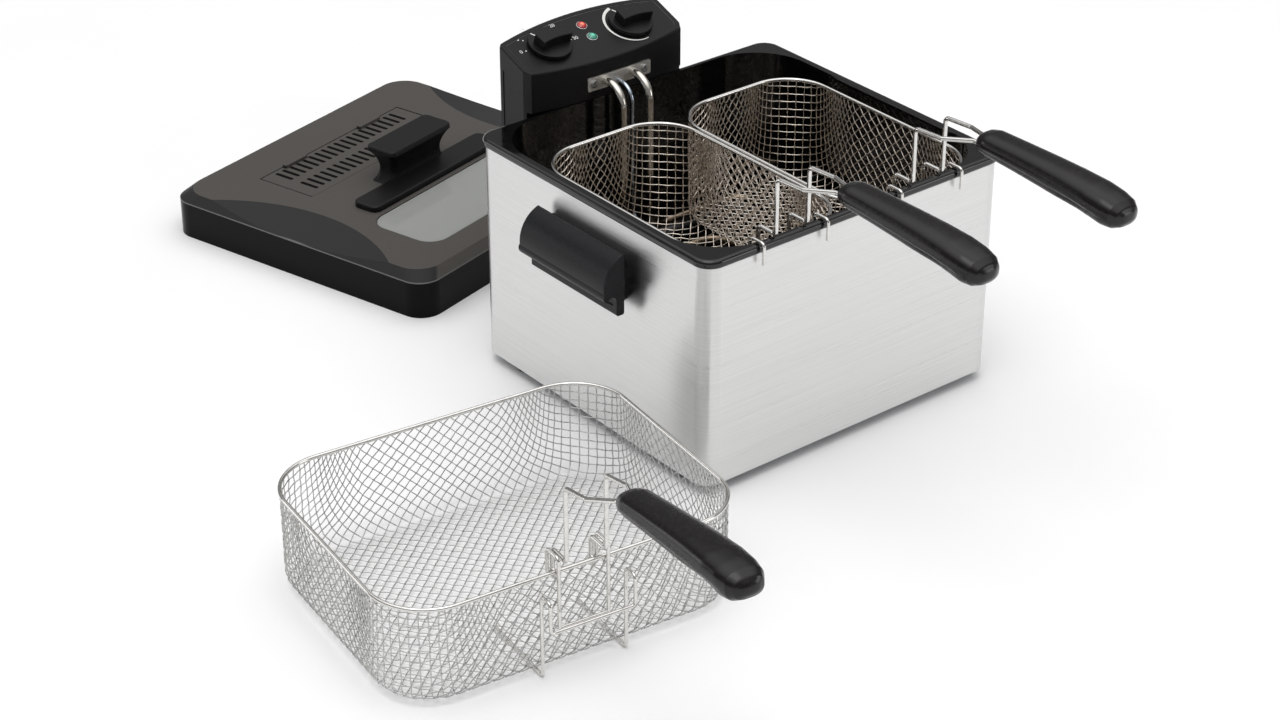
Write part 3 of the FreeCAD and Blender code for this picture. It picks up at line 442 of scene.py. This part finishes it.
# ---- woven wire ----
# How finely a basket's form is divided.
BEND_STEPS, WALL_STEPS, RUN_STEPS, STRAIGHT_STEPS = 7, 9, 12, 2
FIRST_RING = 0.5                # mm from a corner's centre to the first ring
HEM, HEM_SHOWN = 5.0, 0.6       # mm of cloth past the rim's line, and how much of it stands above
MAP_MIDDLE = 0.5                # place of the cloth's middle in its flat map
LONGEST_REACH = 0.93            # share of half a side that a corner's extra cloth may spread over
CALM_OF_RADIUS, CALM_OF_RUN = 0.45, 0.3     # shares of a ring's radius and run that it leaves alone


def cloth_rings(height, corner, bend):
    """How far from a corner's centre, in the flat cloth, each ring of the form lies."""
    start = corner - bend
    turn_end = start + bend * math.pi / 2
    rings = [FIRST_RING, start / 2, start]
    rings += [start + bend * math.pi / 2 * k / BEND_STEPS for k in range(1, BEND_STEPS + 1)]
    rings += [turn_end + (height - bend) * k / WALL_STEPS for k in range(1, WALL_STEPS + 1)]
    return rings + [turn_end + height - bend + HEM]


def wall_section(flat, height, corner, bend):
    """Where a ring of cloth lies once pressed: how far out, how far up, and its lean in radians."""
    start = corner - bend
    turn_end = start + bend * math.pi / 2
    if flat <= start:
        return flat, 0.0, 0.0
    if flat <= turn_end:
        lean = (flat - start) / bend
        return start + bend * math.sin(lean), bend * (1 - math.cos(lean)), lean
    top = turn_end + height - bend
    return corner, bend + min(flat, top + HEM_SHOWN) - turn_end, math.pi / 2


def eased_run(flat, plan, length, reach):
    """Pairs of places along half a side, in the cloth and on the form. The cloth that a corner has too much
    of is taken up over the reach beside it."""
    kept = min(reach, length * LONGEST_REACH)
    far, near = flat * math.pi / 4 + kept, plan * math.pi / 4 + kept
    calm = min(CALM_OF_RADIUS * plan, CALM_OF_RUN * near)
    pairs = []
    for k in range(RUN_STEPS + 1):
        along = far * k / RUN_STEPS
        x = max(0.0, (along - calm) / max(far - calm, 1e-9))
        eased = 0.5 * (x + x * x * (3 - 2 * x))
        pairs.append((along, along - (far - near) * eased))
    for k in range(1, STRAIGHT_STEPS + 1):
        extra = (length - kept) * k / STRAIGHT_STEPS
        pairs.append((far + extra, near + extra))
    return pairs


def round_corner(middle, distance, along):
    """A point on a ring round a corner's centre, counted from the corner's middle angle, and the way out."""
    quarter_arc = distance * math.pi / 4
    on_arc = max(-quarter_arc, min(quarter_arc, along))
    angle = middle + on_arc / distance
    out = Vector((math.cos(angle), math.sin(angle)))
    beside = Vector((-out.y, out.x))
    return out * distance + beside * (along - on_arc), out


def pressed_form(width, depth, height, corner, bend, place, reach=40.0):
    """A basket's form, whose points also hold their place in the flat cloth that it was pressed from (mm)."""
    side_x, side_y = width / 2 - corner, depth / 2 - corner
    flat_points, points, outs = [Vector((0, 0))], [Vector((0, 0, -height))], [Vector((0, 0, -1))]
    rings = cloth_rings(height, corner, bend)
    for flat in rings:
        plan, rise, lean = wall_section(flat, height, corner, bend)
        for quarter, (sx, sy) in enumerate(((1, 1), (-1, 1), (-1, -1), (1, -1))):
            before, after = (side_y, side_x) if quarter % 2 == 0 else (side_x, side_y)
            pairs = [(-a, -b) for a, b in reversed(eased_run(flat, plan, before, reach))]
            pairs += eased_run(flat, plan, after, reach)[1:-1]
            centre, middle = Vector((sx * side_x, sy * side_y)), math.atan2(sy, sx)
            for in_cloth, on_form in pairs:
                formed, out = round_corner(middle, plan, on_form)
                flat_points.append(centre + round_corner(middle, flat, in_cloth)[0])
                points.append(Vector((*(centre + formed), rise - height)))
                outs.append(Vector((*(out * math.sin(lean)), -math.cos(lean))))
    count = (len(points) - 1) // len(rings)
    faces = [(0, 1 + i, 1 + (i + 1) % count) for i in range(count)]
    for r in range(len(rings) - 1):
        inner, outer = 1 + r * count, 1 + (r + 1) * count
        for i in range(count):
            j = (i + 1) % count
            faces.append((inner + i, outer + i, outer + j, inner + j))
    shift = Vector((0, depth / 2, 0))
    turn = place.to_3x3()
    mesh = bpy.data.meshes.new("form")
    mesh.from_pydata([place @ ((p + shift) * MM) for p in points], [], faces)
    flat_map = mesh.attributes.new("flat", "FLOAT_VECTOR", "POINT")
    out_map = mesh.attributes.new("out", "FLOAT_VECTOR", "POINT")
    for i, (spot, out) in enumerate(zip(flat_points, outs)):
        flat_map.data[i].vector = (spot.x * MM + MAP_MIDDLE, spot.y * MM + MAP_MIDDLE, 0)
        out_map.data[i].vector = turn @ out
    return mesh


def woven_wire_tree():
    """Lays two families of wires, over and under each other, along a form's flat map."""
    tree = bpy.data.node_groups.new("Woven wire", "GeometryNodeTree")
    for name, way, kind in (("Form", "INPUT", "Geometry"), ("Spacing", "INPUT", "Float"),
                            ("Thickness", "INPUT", "Float"), ("Strands", "INPUT", "Int"),
                            ("Wire", "INPUT", "Material"), ("Cloth", "OUTPUT", "Geometry")):
        tree.interface.new_socket(name, in_out=way, socket_type="NodeSocket" + kind)
    given = add(tree, "NodeGroupInput").outputs
    index = add(tree, "GeometryNodeInputIndex").outputs[0]
    flat_map, out_map = (add(tree, "GeometryNodeInputNamedAttribute", {"Name": name},
                             data_type="FLOAT_VECTOR").outputs[0] for name in ("flat", "out"))
    on_form = add(tree, "GeometryNodeInputPosition").outputs[0]
    half_thick = add(tree, "ShaderNodeMath", {0: given["Thickness"], 1: 0.5}, operation="MULTIPLY").outputs[0]
    section = add(tree, "GeometryNodeCurvePrimitiveCircle", {"Resolution": 6, "Radius": half_thick})
    joined = add(tree, "GeometryNodeJoinGeometry")
    for angle, over in ((45, 1.0), (135, -1.0)):
        values = {"index": index, "strands": given["Strands"], "spacing": given["Spacing"],
                  "thick": half_thick}
        # Each row is one sum: its name, what it does, and the two values that it takes.
        sums = [
            ("steps", "MULTIPLY", "strands", 2.0), ("points", "MULTIPLY", "steps", "strands"),
            ("share", "DIVIDE", "index", "steps"), ("strand", "FLOOR", "share", 0.0),
            ("before", "MULTIPLY", "strand", "steps"), ("step", "SUBTRACT", "index", "before"),
            ("half", "MULTIPLY", "strands", 0.5), ("from_middle", "SUBTRACT", "strand", "half"),
            ("across", "MULTIPLY", "from_middle", "spacing"), ("from_start", "SUBTRACT", "step", "strands"),
            ("half_space", "MULTIPLY", "spacing", 0.5), ("along", "MULTIPLY", "from_start", "half_space"),
            ("half_step", "MULTIPLY", "step", 0.5), ("crossing", "ADD", "half_step", "strand"),
            ("phase", "MULTIPLY", "crossing", math.pi), ("wave", "COSINE", "phase", 0.0),
            ("swing", "MULTIPLY", "wave", over), ("lift", "MULTIPLY", "swing", "thick"),
        ]
        for name, operation, first, second in sums:
            pair = {0: values.get(first, first), 1: values.get(second, second)}
            values[name] = add(tree, "ShaderNodeMath", pair, operation=operation).outputs[0]
        straight = add(tree, "ShaderNodeCombineXYZ", {"X": values["along"], "Y": values["across"]}).outputs[0]
        turned = add(tree, "ShaderNodeVectorRotate", {"Vector": straight, "Angle": math.radians(angle)},
                     rotation_type="Z_AXIS").outputs[0]
        in_cloth = add(tree, "ShaderNodeVectorMath", {0: turned, 1: (MAP_MIDDLE, MAP_MIDDLE, 0.0)},
                       operation="ADD").outputs[0]
        spot, out = (add(tree, "GeometryNodeSampleUVSurface",
                         {0: given["Form"], 1: value, 2: flat_map, 3: in_cloth}, data_type="FLOAT_VECTOR")
                     for value in (on_form, out_map))
        push = add(tree, "ShaderNodeVectorMath", {0: out.outputs[0], "Scale": values["lift"]},
                   operation="SCALE").outputs[0]
        place = add(tree, "ShaderNodeVectorMath", {0: spot.outputs[0], 1: push}, operation="ADD").outputs[0]
        dots = add(tree, "GeometryNodePoints", {"Count": values["points"], "Position": place}).outputs[0]
        named = add(tree, "GeometryNodeStoreNamedAttribute",
                    {"Geometry": dots, "Name": "strand", "Value": values["strand"]}, data_type="INT")
        outside = add(tree, "FunctionNodeBooleanMath", {0: spot.outputs[1]}, operation="NOT").outputs[0]
        kept = add(tree, "GeometryNodeDeleteGeometry", {"Geometry": named.outputs[0], "Selection": outside})
        strand = add(tree, "GeometryNodeInputNamedAttribute", {"Name": "strand"}, data_type="INT").outputs[0]
        lines = add(tree, "GeometryNodePointsToCurves",
                    {"Points": kept.outputs[0], "Curve Group ID": strand, "Weight": index})
        tubes = add(tree, "GeometryNodeCurveToMesh", {"Curve": lines.outputs[0], "Fill Caps": True,
                                                      "Profile Curve": section.outputs[0]})
        tree.links.new(tubes.outputs[0], joined.inputs[0])
    smooth = add(tree, "GeometryNodeSetShadeSmooth", {0: joined.outputs[0]})
    real = add(tree, "GeometryNodeRealizeInstances", {0: smooth.outputs[0]})
    coated = add(tree, "GeometryNodeSetMaterial", {"Geometry": real.outputs[0], "Material": given["Wire"]})
    add(tree, "NodeGroupOutput", {0: coated.outputs[0]})
    return tree


def run_tree(piece, tree, **inputs):
    """Puts a node tree on a piece with its inputs set, and makes the result plain."""
    modifier = piece.modifiers.new(tree.name, "NODES")
    modifier.node_group = tree
    for item in tree.interface.items_tree:
        if item.item_type == "SOCKET" and item.in_out == "INPUT" and item.name in inputs:
            modifier[item.identifier] = inputs[item.name]
    return made_plain(piece)


# ---- grips ----
# Share of the grip's length from the wire end, width, height and the height of its middle (mm).
GRIP_STATIONS = [(0.0, 21, 14, 68.0), (0.012, 23.5, 17, 68.0), (0.06, 28, 20, 68.0),
                 (0.25, 29.8, 21.8, 67.2), (0.45, 32, 24, 66), (0.62, 34.4, 25.6, 64.6),
                 (0.78, 36.6, 26.8, 62.6), (0.88, 35.4, 25.4, 61.0), (0.945, 31.4, 22, 60.0),
                 (0.98, 24, 16, 59.4), (0.996, 13.6, 8.6, 59.0), (1.0, 6, 4, 58.9)]
GRIP_START, GRIP_LENGTH = -70.0, 156.0
GRIP_SIDES = 72
SQUARENESS = 0.74       # the power that turns the grip's oval into a rounded square
UNDERCUT = 0.13         # how much narrower the grip is below its parting ridge
SCALLOP_AT, SCALLOP_LONG, SCALLOP_DEEP = 0.72, 0.11, 3.2    # shares of the length, and mm
HANDLE_TOP = Vector((0, -8, 60))
GRIP_RAISE = {"large_basket": (15.0, 9.0)}      # how far a handle is lifted (mm) and tilted up (degrees)


def clamped(value):
    """A value kept between 0 and 1."""
    return min(1.0, max(0.0, value))


def grip_section(share):
    """One ring of the grip, as sideways and upward places (mm)."""
    table = np.array(GRIP_STATIONS)
    wide, tall, middle = (np.interp(share, table[:, 0], table[:, c]) for c in (1, 2, 3))
    scallop = SCALLOP_DEEP * math.exp(-((share - SCALLOP_AT) / SCALLOP_LONG) ** 2)
    # The undercut starts after the wire end and runs out before the far end.
    slim = 1 - UNDERCUT * clamped((0.92 - share) / 0.12) * clamped(share / 0.05)
    ring = []
    for angle in (2 * math.pi * k / GRIP_SIDES for k in range(GRIP_SIDES)):
        c, s = math.cos(angle), math.sin(angle)
        x = wide / 2 * math.copysign(abs(c) ** SQUARENESS, c)
        z = tall / 2 * math.copysign(abs(s) ** SQUARENESS, s)
        under = clamped((-0.05 - s) / 0.12)
        x *= 1 - (1 - slim) * under
        x -= math.copysign(scallop * under * max(0.0, 1 + s * 0.7), c)
        ring.append((x, middle + z))
    return ring


def grip_piece(prefix, material):
    """Phenolic grip: flares towards its end, with a parting ridge and a finger scallop low on each side."""
    rise, tilt = GRIP_RAISE.get(prefix, (0.0, 0.0))
    about = Matrix.Translation(HANDLE_TOP)
    tilted = about @ Matrix.Rotation(math.radians(-tilt), 4, "X") @ about.inverted()
    lifted = Matrix.Translation((0, 0, rise)) @ tilted
    place = basket_frame(prefix)
    # The rings lie closer together where the two ends round over.
    shares = np.concatenate([np.linspace(0, 0.06, 7), np.linspace(0.08, 0.9, 60), np.linspace(0.91, 1.0, 24)])
    rings = [[place @ (lifted @ Vector((x, GRIP_START - GRIP_LENGTH * share, z)) * MM)
              for x, z in grip_section(share)] for share in shares]
    points, faces = closed_rings(rings)
    piece = outward(new_piece(prefix + "_grip_moulding", points, faces, material))
    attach(piece, prefix + "_handle")
    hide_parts(prefix + "_grip")
    return piece


# ---- dial marks ----
PANEL_DROP = -0.6       # the panel's face, in mm, below the plane that the dials' axes are given on
INK_TOP = PANEL_DROP + 0.12
INK_THICK = 0.1
NUMERAL_SIZE = 5.6
TIMER_NUMERALS, TIMER_DOTS, TIMER_DOT = 28.5, 23.6, 0.7     # two radii, and a dot's own
OFF_DOT = (25, -52, 0.8)                # radius, angle and the dot's own radius
TIMER_MARKS = ((84, "0"), (50, "5"), (22, "10"), (-15, "15"), (-40, "20"), (-65, "25"), (-90, "30"))
# Angle, radius, size and text.
THERMOSTAT_MARKS = ((0, 26.5, 5.0, "190"), (204, 27.5, 5.0, "130"), (-66, 30, NUMERAL_SIZE, "0"))
SWEEP_START, SWEEP_TURN = 14, 176       # degrees
SWEEP_RADIUS, SWEEP_WIDE, SWEEP_NARROW = 22.6, 3.0, 0.8
DIAL_LINES = (("timer_turn", "timer_dial", 33), ("thermostat_turn", "thermostat_dial", 30))
LINE_OUT, LINE_IN, LINE_HALF, DIAL_FACE = 19.2, 11.5, 0.6, 4.5      # mm on a dial's skirt


def panel_frame(joint):
    """The place on the sloping panel at a dial's axis: X right, Y up the slope, Z out."""
    out = -Vector(joint["axis"])
    right = Vector((1, 0, 0))
    turn = Matrix((right, out.cross(right), out)).transposed()
    return Matrix.Translation(Vector(joint["pos_m"])) @ turn.to_4x4()


def flat_mark(outline, height):
    """A thin slab of ink from a closed outline (mm), as points and faces."""
    count = len(outline)
    points = [(x, y, height) for x, y in outline] + [(x, y, height - INK_THICK) for x, y in outline]
    faces = [tuple(range(count)), tuple(reversed(range(count, 2 * count)))]
    faces += [(i, i + count, (i + 1) % count + count, (i + 1) % count) for i in range(count)]
    return points, faces


def polar(radius, degrees):
    """A point at a radius and an angle, anticlockwise from up the slope."""
    a = math.radians(degrees)
    return (-radius * math.sin(a), radius * math.cos(a))


def dot_mark(radius, degrees, size):
    """A round dot of ink beside a dial."""
    x, y = polar(radius, degrees)
    turns = np.linspace(0, 2 * math.pi, 12, endpoint=False)
    return flat_mark([(x + size * math.cos(a), y + size * math.sin(a)) for a in turns], INK_TOP)


def numeral(text, size, x, y):
    """One printed number as points and faces."""
    curve = bpy.data.curves.new("numeral", "FONT")
    curve.body, curve.size = text, size
    curve.align_x, curve.align_y = "CENTER", "CENTER"
    curve.extrude = INK_THICK / 2
    curve.resolution_u = 3
    letter = bpy.data.objects.new("numeral", curve)
    bpy.context.scene.collection.objects.link(letter)
    graph = bpy.context.evaluated_depsgraph_get()
    mesh = bpy.data.meshes.new_from_object(letter.evaluated_get(graph))
    points = [(v.co.x + x, v.co.y + y, v.co.z + INK_TOP) for v in mesh.vertices]
    faces = [tuple(p.vertices) for p in mesh.polygons]
    bpy.data.objects.remove(letter)
    bpy.data.curves.remove(curve)
    bpy.data.meshes.remove(mesh)
    return points, faces


def sweep_marks():
    """The temperature band beside the thermostat, which narrows as it goes round."""
    shares = np.linspace(0, 1, 60)
    angles = [SWEEP_START + SWEEP_TURN * share for share in shares]
    outer = [polar(SWEEP_RADIUS + SWEEP_WIDE + (SWEEP_NARROW - SWEEP_WIDE) * share, degrees)
             for share, degrees in zip(shares, angles)]
    inner = [polar(SWEEP_RADIUS, degrees) for degrees in angles]
    corners = zip(outer, outer[1:], inner[1:], inner)
    return [flat_mark(list(four), INK_TOP) for four in corners]


def printed_piece(name, marks, place, material, body):
    """Joins marks into one piece on the panel or a dial."""
    points, faces = [], []
    for some_points, some_faces in marks:
        base = len(points)
        points += [place @ (Vector(p) * MM) for p in some_points]
        faces += [tuple(i + base for i in face) for face in some_faces]
    piece = outward(new_piece(name, points, faces, material, smooth=False))
    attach(piece, body)
    return piece


# ---- settings ----
class FryerWeaveSettings(bpy.types.PropertyGroup):
    spacing: FloatProperty(name="Wire spacing", description="Between neighbouring wires of a basket's cloth",
                           default=0.0075, min=0.003, max=0.02, unit="LENGTH")
    thickness: FloatProperty(name="Wire thickness", description="Diameter of the woven wire",
                             default=0.00095, min=0.0004, max=0.002, unit="LENGTH")
    strands: IntProperty(name="Strands", description="Wires laid each way before they are trimmed; even",
                         default=84, min=10, max=200)


class FryerFinishSettings(bpy.types.PropertyGroup):
    steel: FloatVectorProperty(name="Steel", description="Colour of the brushed housing", subtype="COLOR",
                               size=3, default=linear("#dadad9")[:3], min=0, max=1)
    lid_top: FloatVectorProperty(name="Lid top", description="Colour of the lid's satin coat",
                                 subtype="COLOR", size=3, default=linear("#524f4c")[:3], min=0, max=1)


class FryerStageSettings(bpy.types.PropertyGroup):
    room: FloatProperty(name="Room light", description="Strength of the even light from all round",
                        default=1.5, min=0, max=10)
    key: FloatProperty(name="Key light", description="Power of the large light overhead, in watts",
                       default=16.0, min=0, max=1000)


# ---- operators ----
class FRYER_OT_housing(bpy.types.Operator):
    """Finishes the steel housing, its base, feet, side handles and rails"""
    bl_idname = "fryer.housing"
    bl_label = "Housing"

    def execute(self, context):
        dress(brushed_stainless(), "outer_housing")
        dress(galvanised_sheet(), "base_plate", "rear_rails")
        dress(soft_rubber("black_rubber", "#1a1a1a", 0.7), "feet")
        dress(zinc_plated_steel(), "foot_screws", "side_handle_screws", "rail_rivets")
        dress(charcoal_phenolic(), "right_side_handle", "left_side_handle")
        return {"FINISHED"}


class FRYER_OT_tank(bpy.types.Operator):
    """Finishes the oil tank and the heating element in it"""
    bl_idname = "fryer.tank"
    bl_label = "Tank and element"

    def execute(self, context):
        dress(vitreous_enamel(), "oil_tank")
        dress(polished_sheath(), "heating_element")
        dress(nickel_wire("nickel_capillary", "#b9c6d2", 0.18), "thermostat_bulb")
        dress(satin_stainless(), "element_bracket", "bulb_clip")
        dress(zinc_plated_steel(), "bracket_screws")
        return {"FINISHED"}


LAMPS = (("power_lamp", "#b3121a", "#ff9a6a"), ("ready_lamp", "#2e8a74", "#5fb9a0"))
RING_RADIUS, RING_BEAD, RING_RISE = 4.75, 0.5, 0.2      # mm
EDGE_BEAD = 0.35                                        # mm


class FRYER_OT_control_head(bpy.types.Operator):
    """Finishes the control head: mouldings, panel, lamps, dials and the parts inside"""
    bl_idname = "fryer.control_head"
    bl_label = "Control head"

    def execute(self, context):
        dress(satin_black_pbt(), "head_front_shell", "head_back_cover", "control_panel", "power_inlet",
              "interlock_switch", "timer_knob", "thermostat_knob")
        dress(zinc_plated_steel(), "case_screws", "timer_shaft", "thermostat_shaft")
        dress(moulded("white_nylon", linear("#d8d7d2"), linear("#e6e5e0"), (0.4, 0.55)),
              "timer_movement", "thermostat_body", "thermal_cutout")
        dress(moulded("red_nylon", linear("#7d0d0b"), linear("#98120f"), (0.3, 0.4)), "reset_button")
        dress(plated_brass(), "inlet_pins")
        silver = nickel_wire("bright_ring", "#c6c6c6", 0.2)
        place = panel_frame(JOINTS["timer_turn"])
        for name, body, glow in LAMPS:
            spots = np.array([place.inverted() @ v.co for v in frame["nodes"][name].data.vertices])
            across = (spots.min(axis=0) + spots.max(axis=0)) / 2
            middle = place @ Vector((across[0], across[1], (PANEL_DROP + RING_RISE) * MM))
            crown = place @ Vector((across[0], across[1], spots[:, 2].max()))
            dress(signal_lens(name + "_lens", body, glow, crown), name)
            self.lamp_ring(name, middle, crown - middle, silver)
        # The panel's edge bead is coloured grey, lighter than the panel: a painted highlight.
        self.panel_edge(place, moulded("black_edge_painted_highlight", linear("#4a4a4c"), linear("#5c5c5f"), (0.35, 0.45)))
        return {"FINISHED"}

    def lamp_ring(self, name, centre, out, material):
        """Thin bright ring pressed round a lens."""
        turn = out.to_track_quat("Z", "Y").to_matrix()
        path = [centre + turn @ (Vector((math.cos(a), math.sin(a), 0)) * RING_RADIUS * MM)
                for a in np.linspace(0, 2 * math.pi, 48, endpoint=False)]
        piece = closed_tube(name + "_ring", path, RING_BEAD * MM, out, material)
        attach(piece, "control_head")

    def panel_edge(self, place, material):
        """The panel's edge as a lighter bead, a painted highlight: a thin line all round it where the edge
        catches the light.
        """
        spots = [place.inverted() @ v.co for v in frame["nodes"]["control_panel"].data.vertices]
        face = max(p.z for p in spots)
        hull = convex_outline({(round(p.x, 6), round(p.y, 6)) for p in spots if p.z > face - 0.1 * MM})
        path = [place @ Vector((x, y, face)) for x, y in hull]
        up = place.to_3x3() @ Vector((0, 0, 1))
        piece = closed_tube("panel_edge_line", path, EDGE_BEAD * MM, up, material)
        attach(piece, "control_head")


class FRYER_OT_dial_print(bpy.types.Operator):
    """Prints plain numbers, dots and a temperature sweep round the dials, and a line on each dial"""
    bl_idname = "fryer.dial_print"
    bl_label = "Dial print"

    def execute(self, context):
        ink = printed_ink()
        marks = []
        for degrees, text in TIMER_MARKS:
            marks.append(numeral(text, NUMERAL_SIZE, *polar(TIMER_NUMERALS, degrees)))
            marks.append(dot_mark(TIMER_DOTS, degrees, TIMER_DOT))
        printed_piece("timer_print", marks, panel_frame(JOINTS["timer_turn"]), ink, "control_head")
        marks = sweep_marks()
        for degrees, radius, size, text in THERMOSTAT_MARKS:
            marks.append(numeral(text, size, *polar(radius, degrees)))
        marks.append(dot_mark(*OFF_DOT))
        printed_piece("thermostat_print", marks, panel_frame(JOINTS["thermostat_turn"]), ink, "control_head")
        for joint, body, degrees in DIAL_LINES:
            turn = math.radians(degrees)
            half = Vector((math.cos(turn), math.sin(turn))) * LINE_HALF
            far, near = Vector(polar(LINE_OUT, degrees)), Vector(polar(LINE_IN, degrees))
            line = [tuple(p) for p in (far - half, far + half, near + half, near - half)]
            printed_piece(body + "_line", [flat_mark(line, DIAL_FACE)], panel_frame(JOINTS[joint]), ink, body)
        return {"FINISHED"}


# Each basket's width, depth, height and upright corner radius (mm), and its cloth's tint: the nickel's own
# colour, with a painted warm reflection added in the small baskets'.
BASKETS = {
    "left_basket": (144.0, 240.0, 96.0, 42.0, "#f6ebdf"),
    "right_basket": (144.0, 240.0, 96.0, 42.0, "#f6ebdf"),
    "large_basket": (300.0, 236.0, 84.0, 48.0, "#c6c6c4"),
}
FLOOR_BEND = 12.0       # mm, radius that a basket's floor turns up with
BENT_WIRES = ("rim_wire", "hook_wire", "handle_bracket", "handle_wire")


class FRYER_OT_baskets(bpy.types.Operator):
    """Weaves the baskets' wire cloth and finishes their bent wires"""
    bl_idname = "fryer.baskets"
    bl_label = "Baskets"

    def execute(self, context):
        weave = context.scene.fryer_weave
        tree = woven_wire_tree()
        bright = nickel_wire("bright_nickel_wire", "#e4e2df", 0.1)
        for prefix, (width, depth, height, corner, tint) in BASKETS.items():
            cloth = nickel_wire(prefix + "_cloth", tint, 0.24)
            form = pressed_form(width, depth, height, corner, FLOOR_BEND, basket_frame(prefix))
            piece = bpy.data.objects.new(prefix + "_woven_cloth", form)
            context.scene.collection.objects.link(piece)
            run_tree(piece, tree, Spacing=weave.spacing, Thickness=weave.thickness, Strands=weave.strands,
                     Wire=cloth)
            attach(piece, prefix)
            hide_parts(prefix + "_mesh")
            dress(bright, *[prefix + "_" + part for part in BENT_WIRES])
        return {"FINISHED"}


class FRYER_OT_grips(bpy.types.Operator):
    """Makes the three moulded grips"""
    bl_idname = "fryer.grips"
    bl_label = "Grips"

    def execute(self, context):
        phenolic = brown_black_phenolic()
        for prefix in BASKETS:
            grip_piece(prefix, phenolic)
        return {"FINISHED"}


class FRYER_OT_lid(bpy.types.Operator):
    """Finishes the lid, its window, seal, handle, filter and slotted cover"""
    bl_idname = "fryer.lid"
    bl_label = "Lid"

    def execute(self, context):
        dress(lid_coat(), "lid_shell", "filter_cover")
        dress(tempered_glass(), "lid_window")
        dress(soft_rubber("grey_silicone", "#3a3a39", 0.5), "window_seal")
        dress(satin_black_pbt(), "lid_handle")
        dress(zinc_plated_steel(), "lid_handle_screws")
        dress(charcoal_foam(), "filter_pad")
        return {"FINISHED"}


FLOOR_REACH = 8.0       # m from the middle to each edge
# Each lamp's place and aim (m), size (m) and share of the key light's power.
LIGHT_PANELS = {
    "front_panel": ((1.55, -2.4, 0.75), (0, -0.15, 0.1), 1.0, 0.55),
    "side_panel": ((-2.3, 2.9, 0.75), (-0.15, 0, 0.1), 1.0, 0.4),
    "top_panel": ((-0.6, -0.4, 2.6), (0, 0, 0), 1.4, 0.7),
}
# The room's light by height: grey up to the first share of straight up, and white past the second.
ROOM_GREY, ROOM_WHITE = (0.5, "#6e6e6e"), (0.86, "#ffffff")
CAMERA_AT = (-1.4045, -1.6172, 1.2301)
CAMERA_TURN = (60.24, 0.0, -38.73)      # degrees
CAMERA_LENS, CAMERA_SENSOR = 78.4, 36.0


class FRYER_OT_stage(bpy.types.Operator):
    """Sets a pale floor, soft studio light and the camera"""
    bl_idname = "fryer.stage"
    bl_label = "Stage"

    def execute(self, context):
        scene = context.scene
        self.floor()
        self.room(scene)
        for name, (spot, aim, size, share) in LIGHT_PANELS.items():
            lamp = bpy.data.lights.new(name, "AREA")
            lamp.shape, lamp.size, lamp.energy = "SQUARE", size, scene.fryer_stage.key * share
            holder = bpy.data.objects.new(name, lamp)
            holder.location = spot
            holder.rotation_euler = (Vector(aim) - Vector(spot)).to_track_quat("-Z", "Y").to_euler()
            holder.visible_camera = False
            scene.collection.objects.link(holder)
        camera = bpy.data.cameras.new("camera")
        camera.lens, camera.sensor_width = CAMERA_LENS, CAMERA_SENSOR
        camera.clip_end = 50
        holder = bpy.data.objects.new("camera", camera)
        holder.location = CAMERA_AT
        holder.rotation_euler = [math.radians(turn) for turn in CAMERA_TURN]
        scene.collection.objects.link(holder)
        scene.camera = holder
        scene.view_settings.view_transform = "Standard"
        return {"FINISHED"}

    def floor(self):
        """Matt pale floor with the faintest cloudiness."""
        pale, tree, shader = new_finish("pale_studio_floor", linear("#fbfbfb"), 0.9, Specular_IOR_Level=0.1)
        vary(tree, shader, pattern(tree, NOISE, 333.3).outputs["Fac"], (linear("#fbfbfb"), linear("#fefefe")))
        r = FLOOR_REACH
        corners = [(-r, -r, 0), (r, -r, 0), (r, r, 0), (-r, r, 0)]
        new_piece("floor", corners, [(0, 1, 2, 3)], pale, smooth=False)

    def room(self, scene):
        """Even light from all round, brighter overhead."""
        world = bpy.data.worlds.new("studio")
        scene.world = world
        world.use_nodes = True
        sky = world.node_tree
        back = sky.nodes["Background"]
        place = add(sky, "ShaderNodeTexCoord")
        up = add(sky, "ShaderNodeSeparateXYZ", {0: place.outputs["Generated"]})
        band = add(sky, "ShaderNodeValToRGB", {"Fac": up.outputs["Z"]})
        for stop, (at, shade) in zip(band.color_ramp.elements, (ROOM_GREY, ROOM_WHITE)):
            stop.position, stop.color = at, linear(shade)
        sky.links.new(band.outputs["Color"], back.inputs["Color"])
        back.inputs["Strength"].default_value = scene.fryer_stage.room


class FRYER_PT_panel(bpy.types.Panel):
    bl_idname = "FRYER_PT_panel"
    bl_label = "Deep Fryer"
    bl_space_type = "VIEW_3D"
    bl_region_type = "UI"
    bl_category = "Deep Fryer"

    def draw(self, context):
        for group in SETTINGS:
            settings = getattr(context.scene, group)
            for name in type(settings).__annotations__:
                self.layout.prop(settings, name)
        for operator in OPERATORS:
            self.layout.operator(operator.bl_idname)


SETTINGS = {"fryer_weave": FryerWeaveSettings, "fryer_finish": FryerFinishSettings,
            "fryer_stage": FryerStageSettings}
OPERATORS = (FRYER_OT_stage, FRYER_OT_housing, FRYER_OT_tank, FRYER_OT_control_head, FRYER_OT_dial_print,
             FRYER_OT_baskets, FRYER_OT_grips, FRYER_OT_lid)


def register():
    for cls in (*SETTINGS.values(), *OPERATORS, FRYER_PT_panel):
        bpy.utils.register_class(cls)
    for name, cls in SETTINGS.items():
        setattr(bpy.types.Scene, name, PointerProperty(type=cls))


def unregister():
    for name in SETTINGS:
        delattr(bpy.types.Scene, name)
    for cls in reversed((*SETTINGS.values(), *OPERATORS, FRYER_PT_panel)):
        bpy.utils.unregister_class(cls)


def main():
    register()
    for operator in OPERATORS:
        group, name = operator.bl_idname.split(".")
        getattr(getattr(bpy.ops, group), name)()


if __name__ == "__main__":
    main()
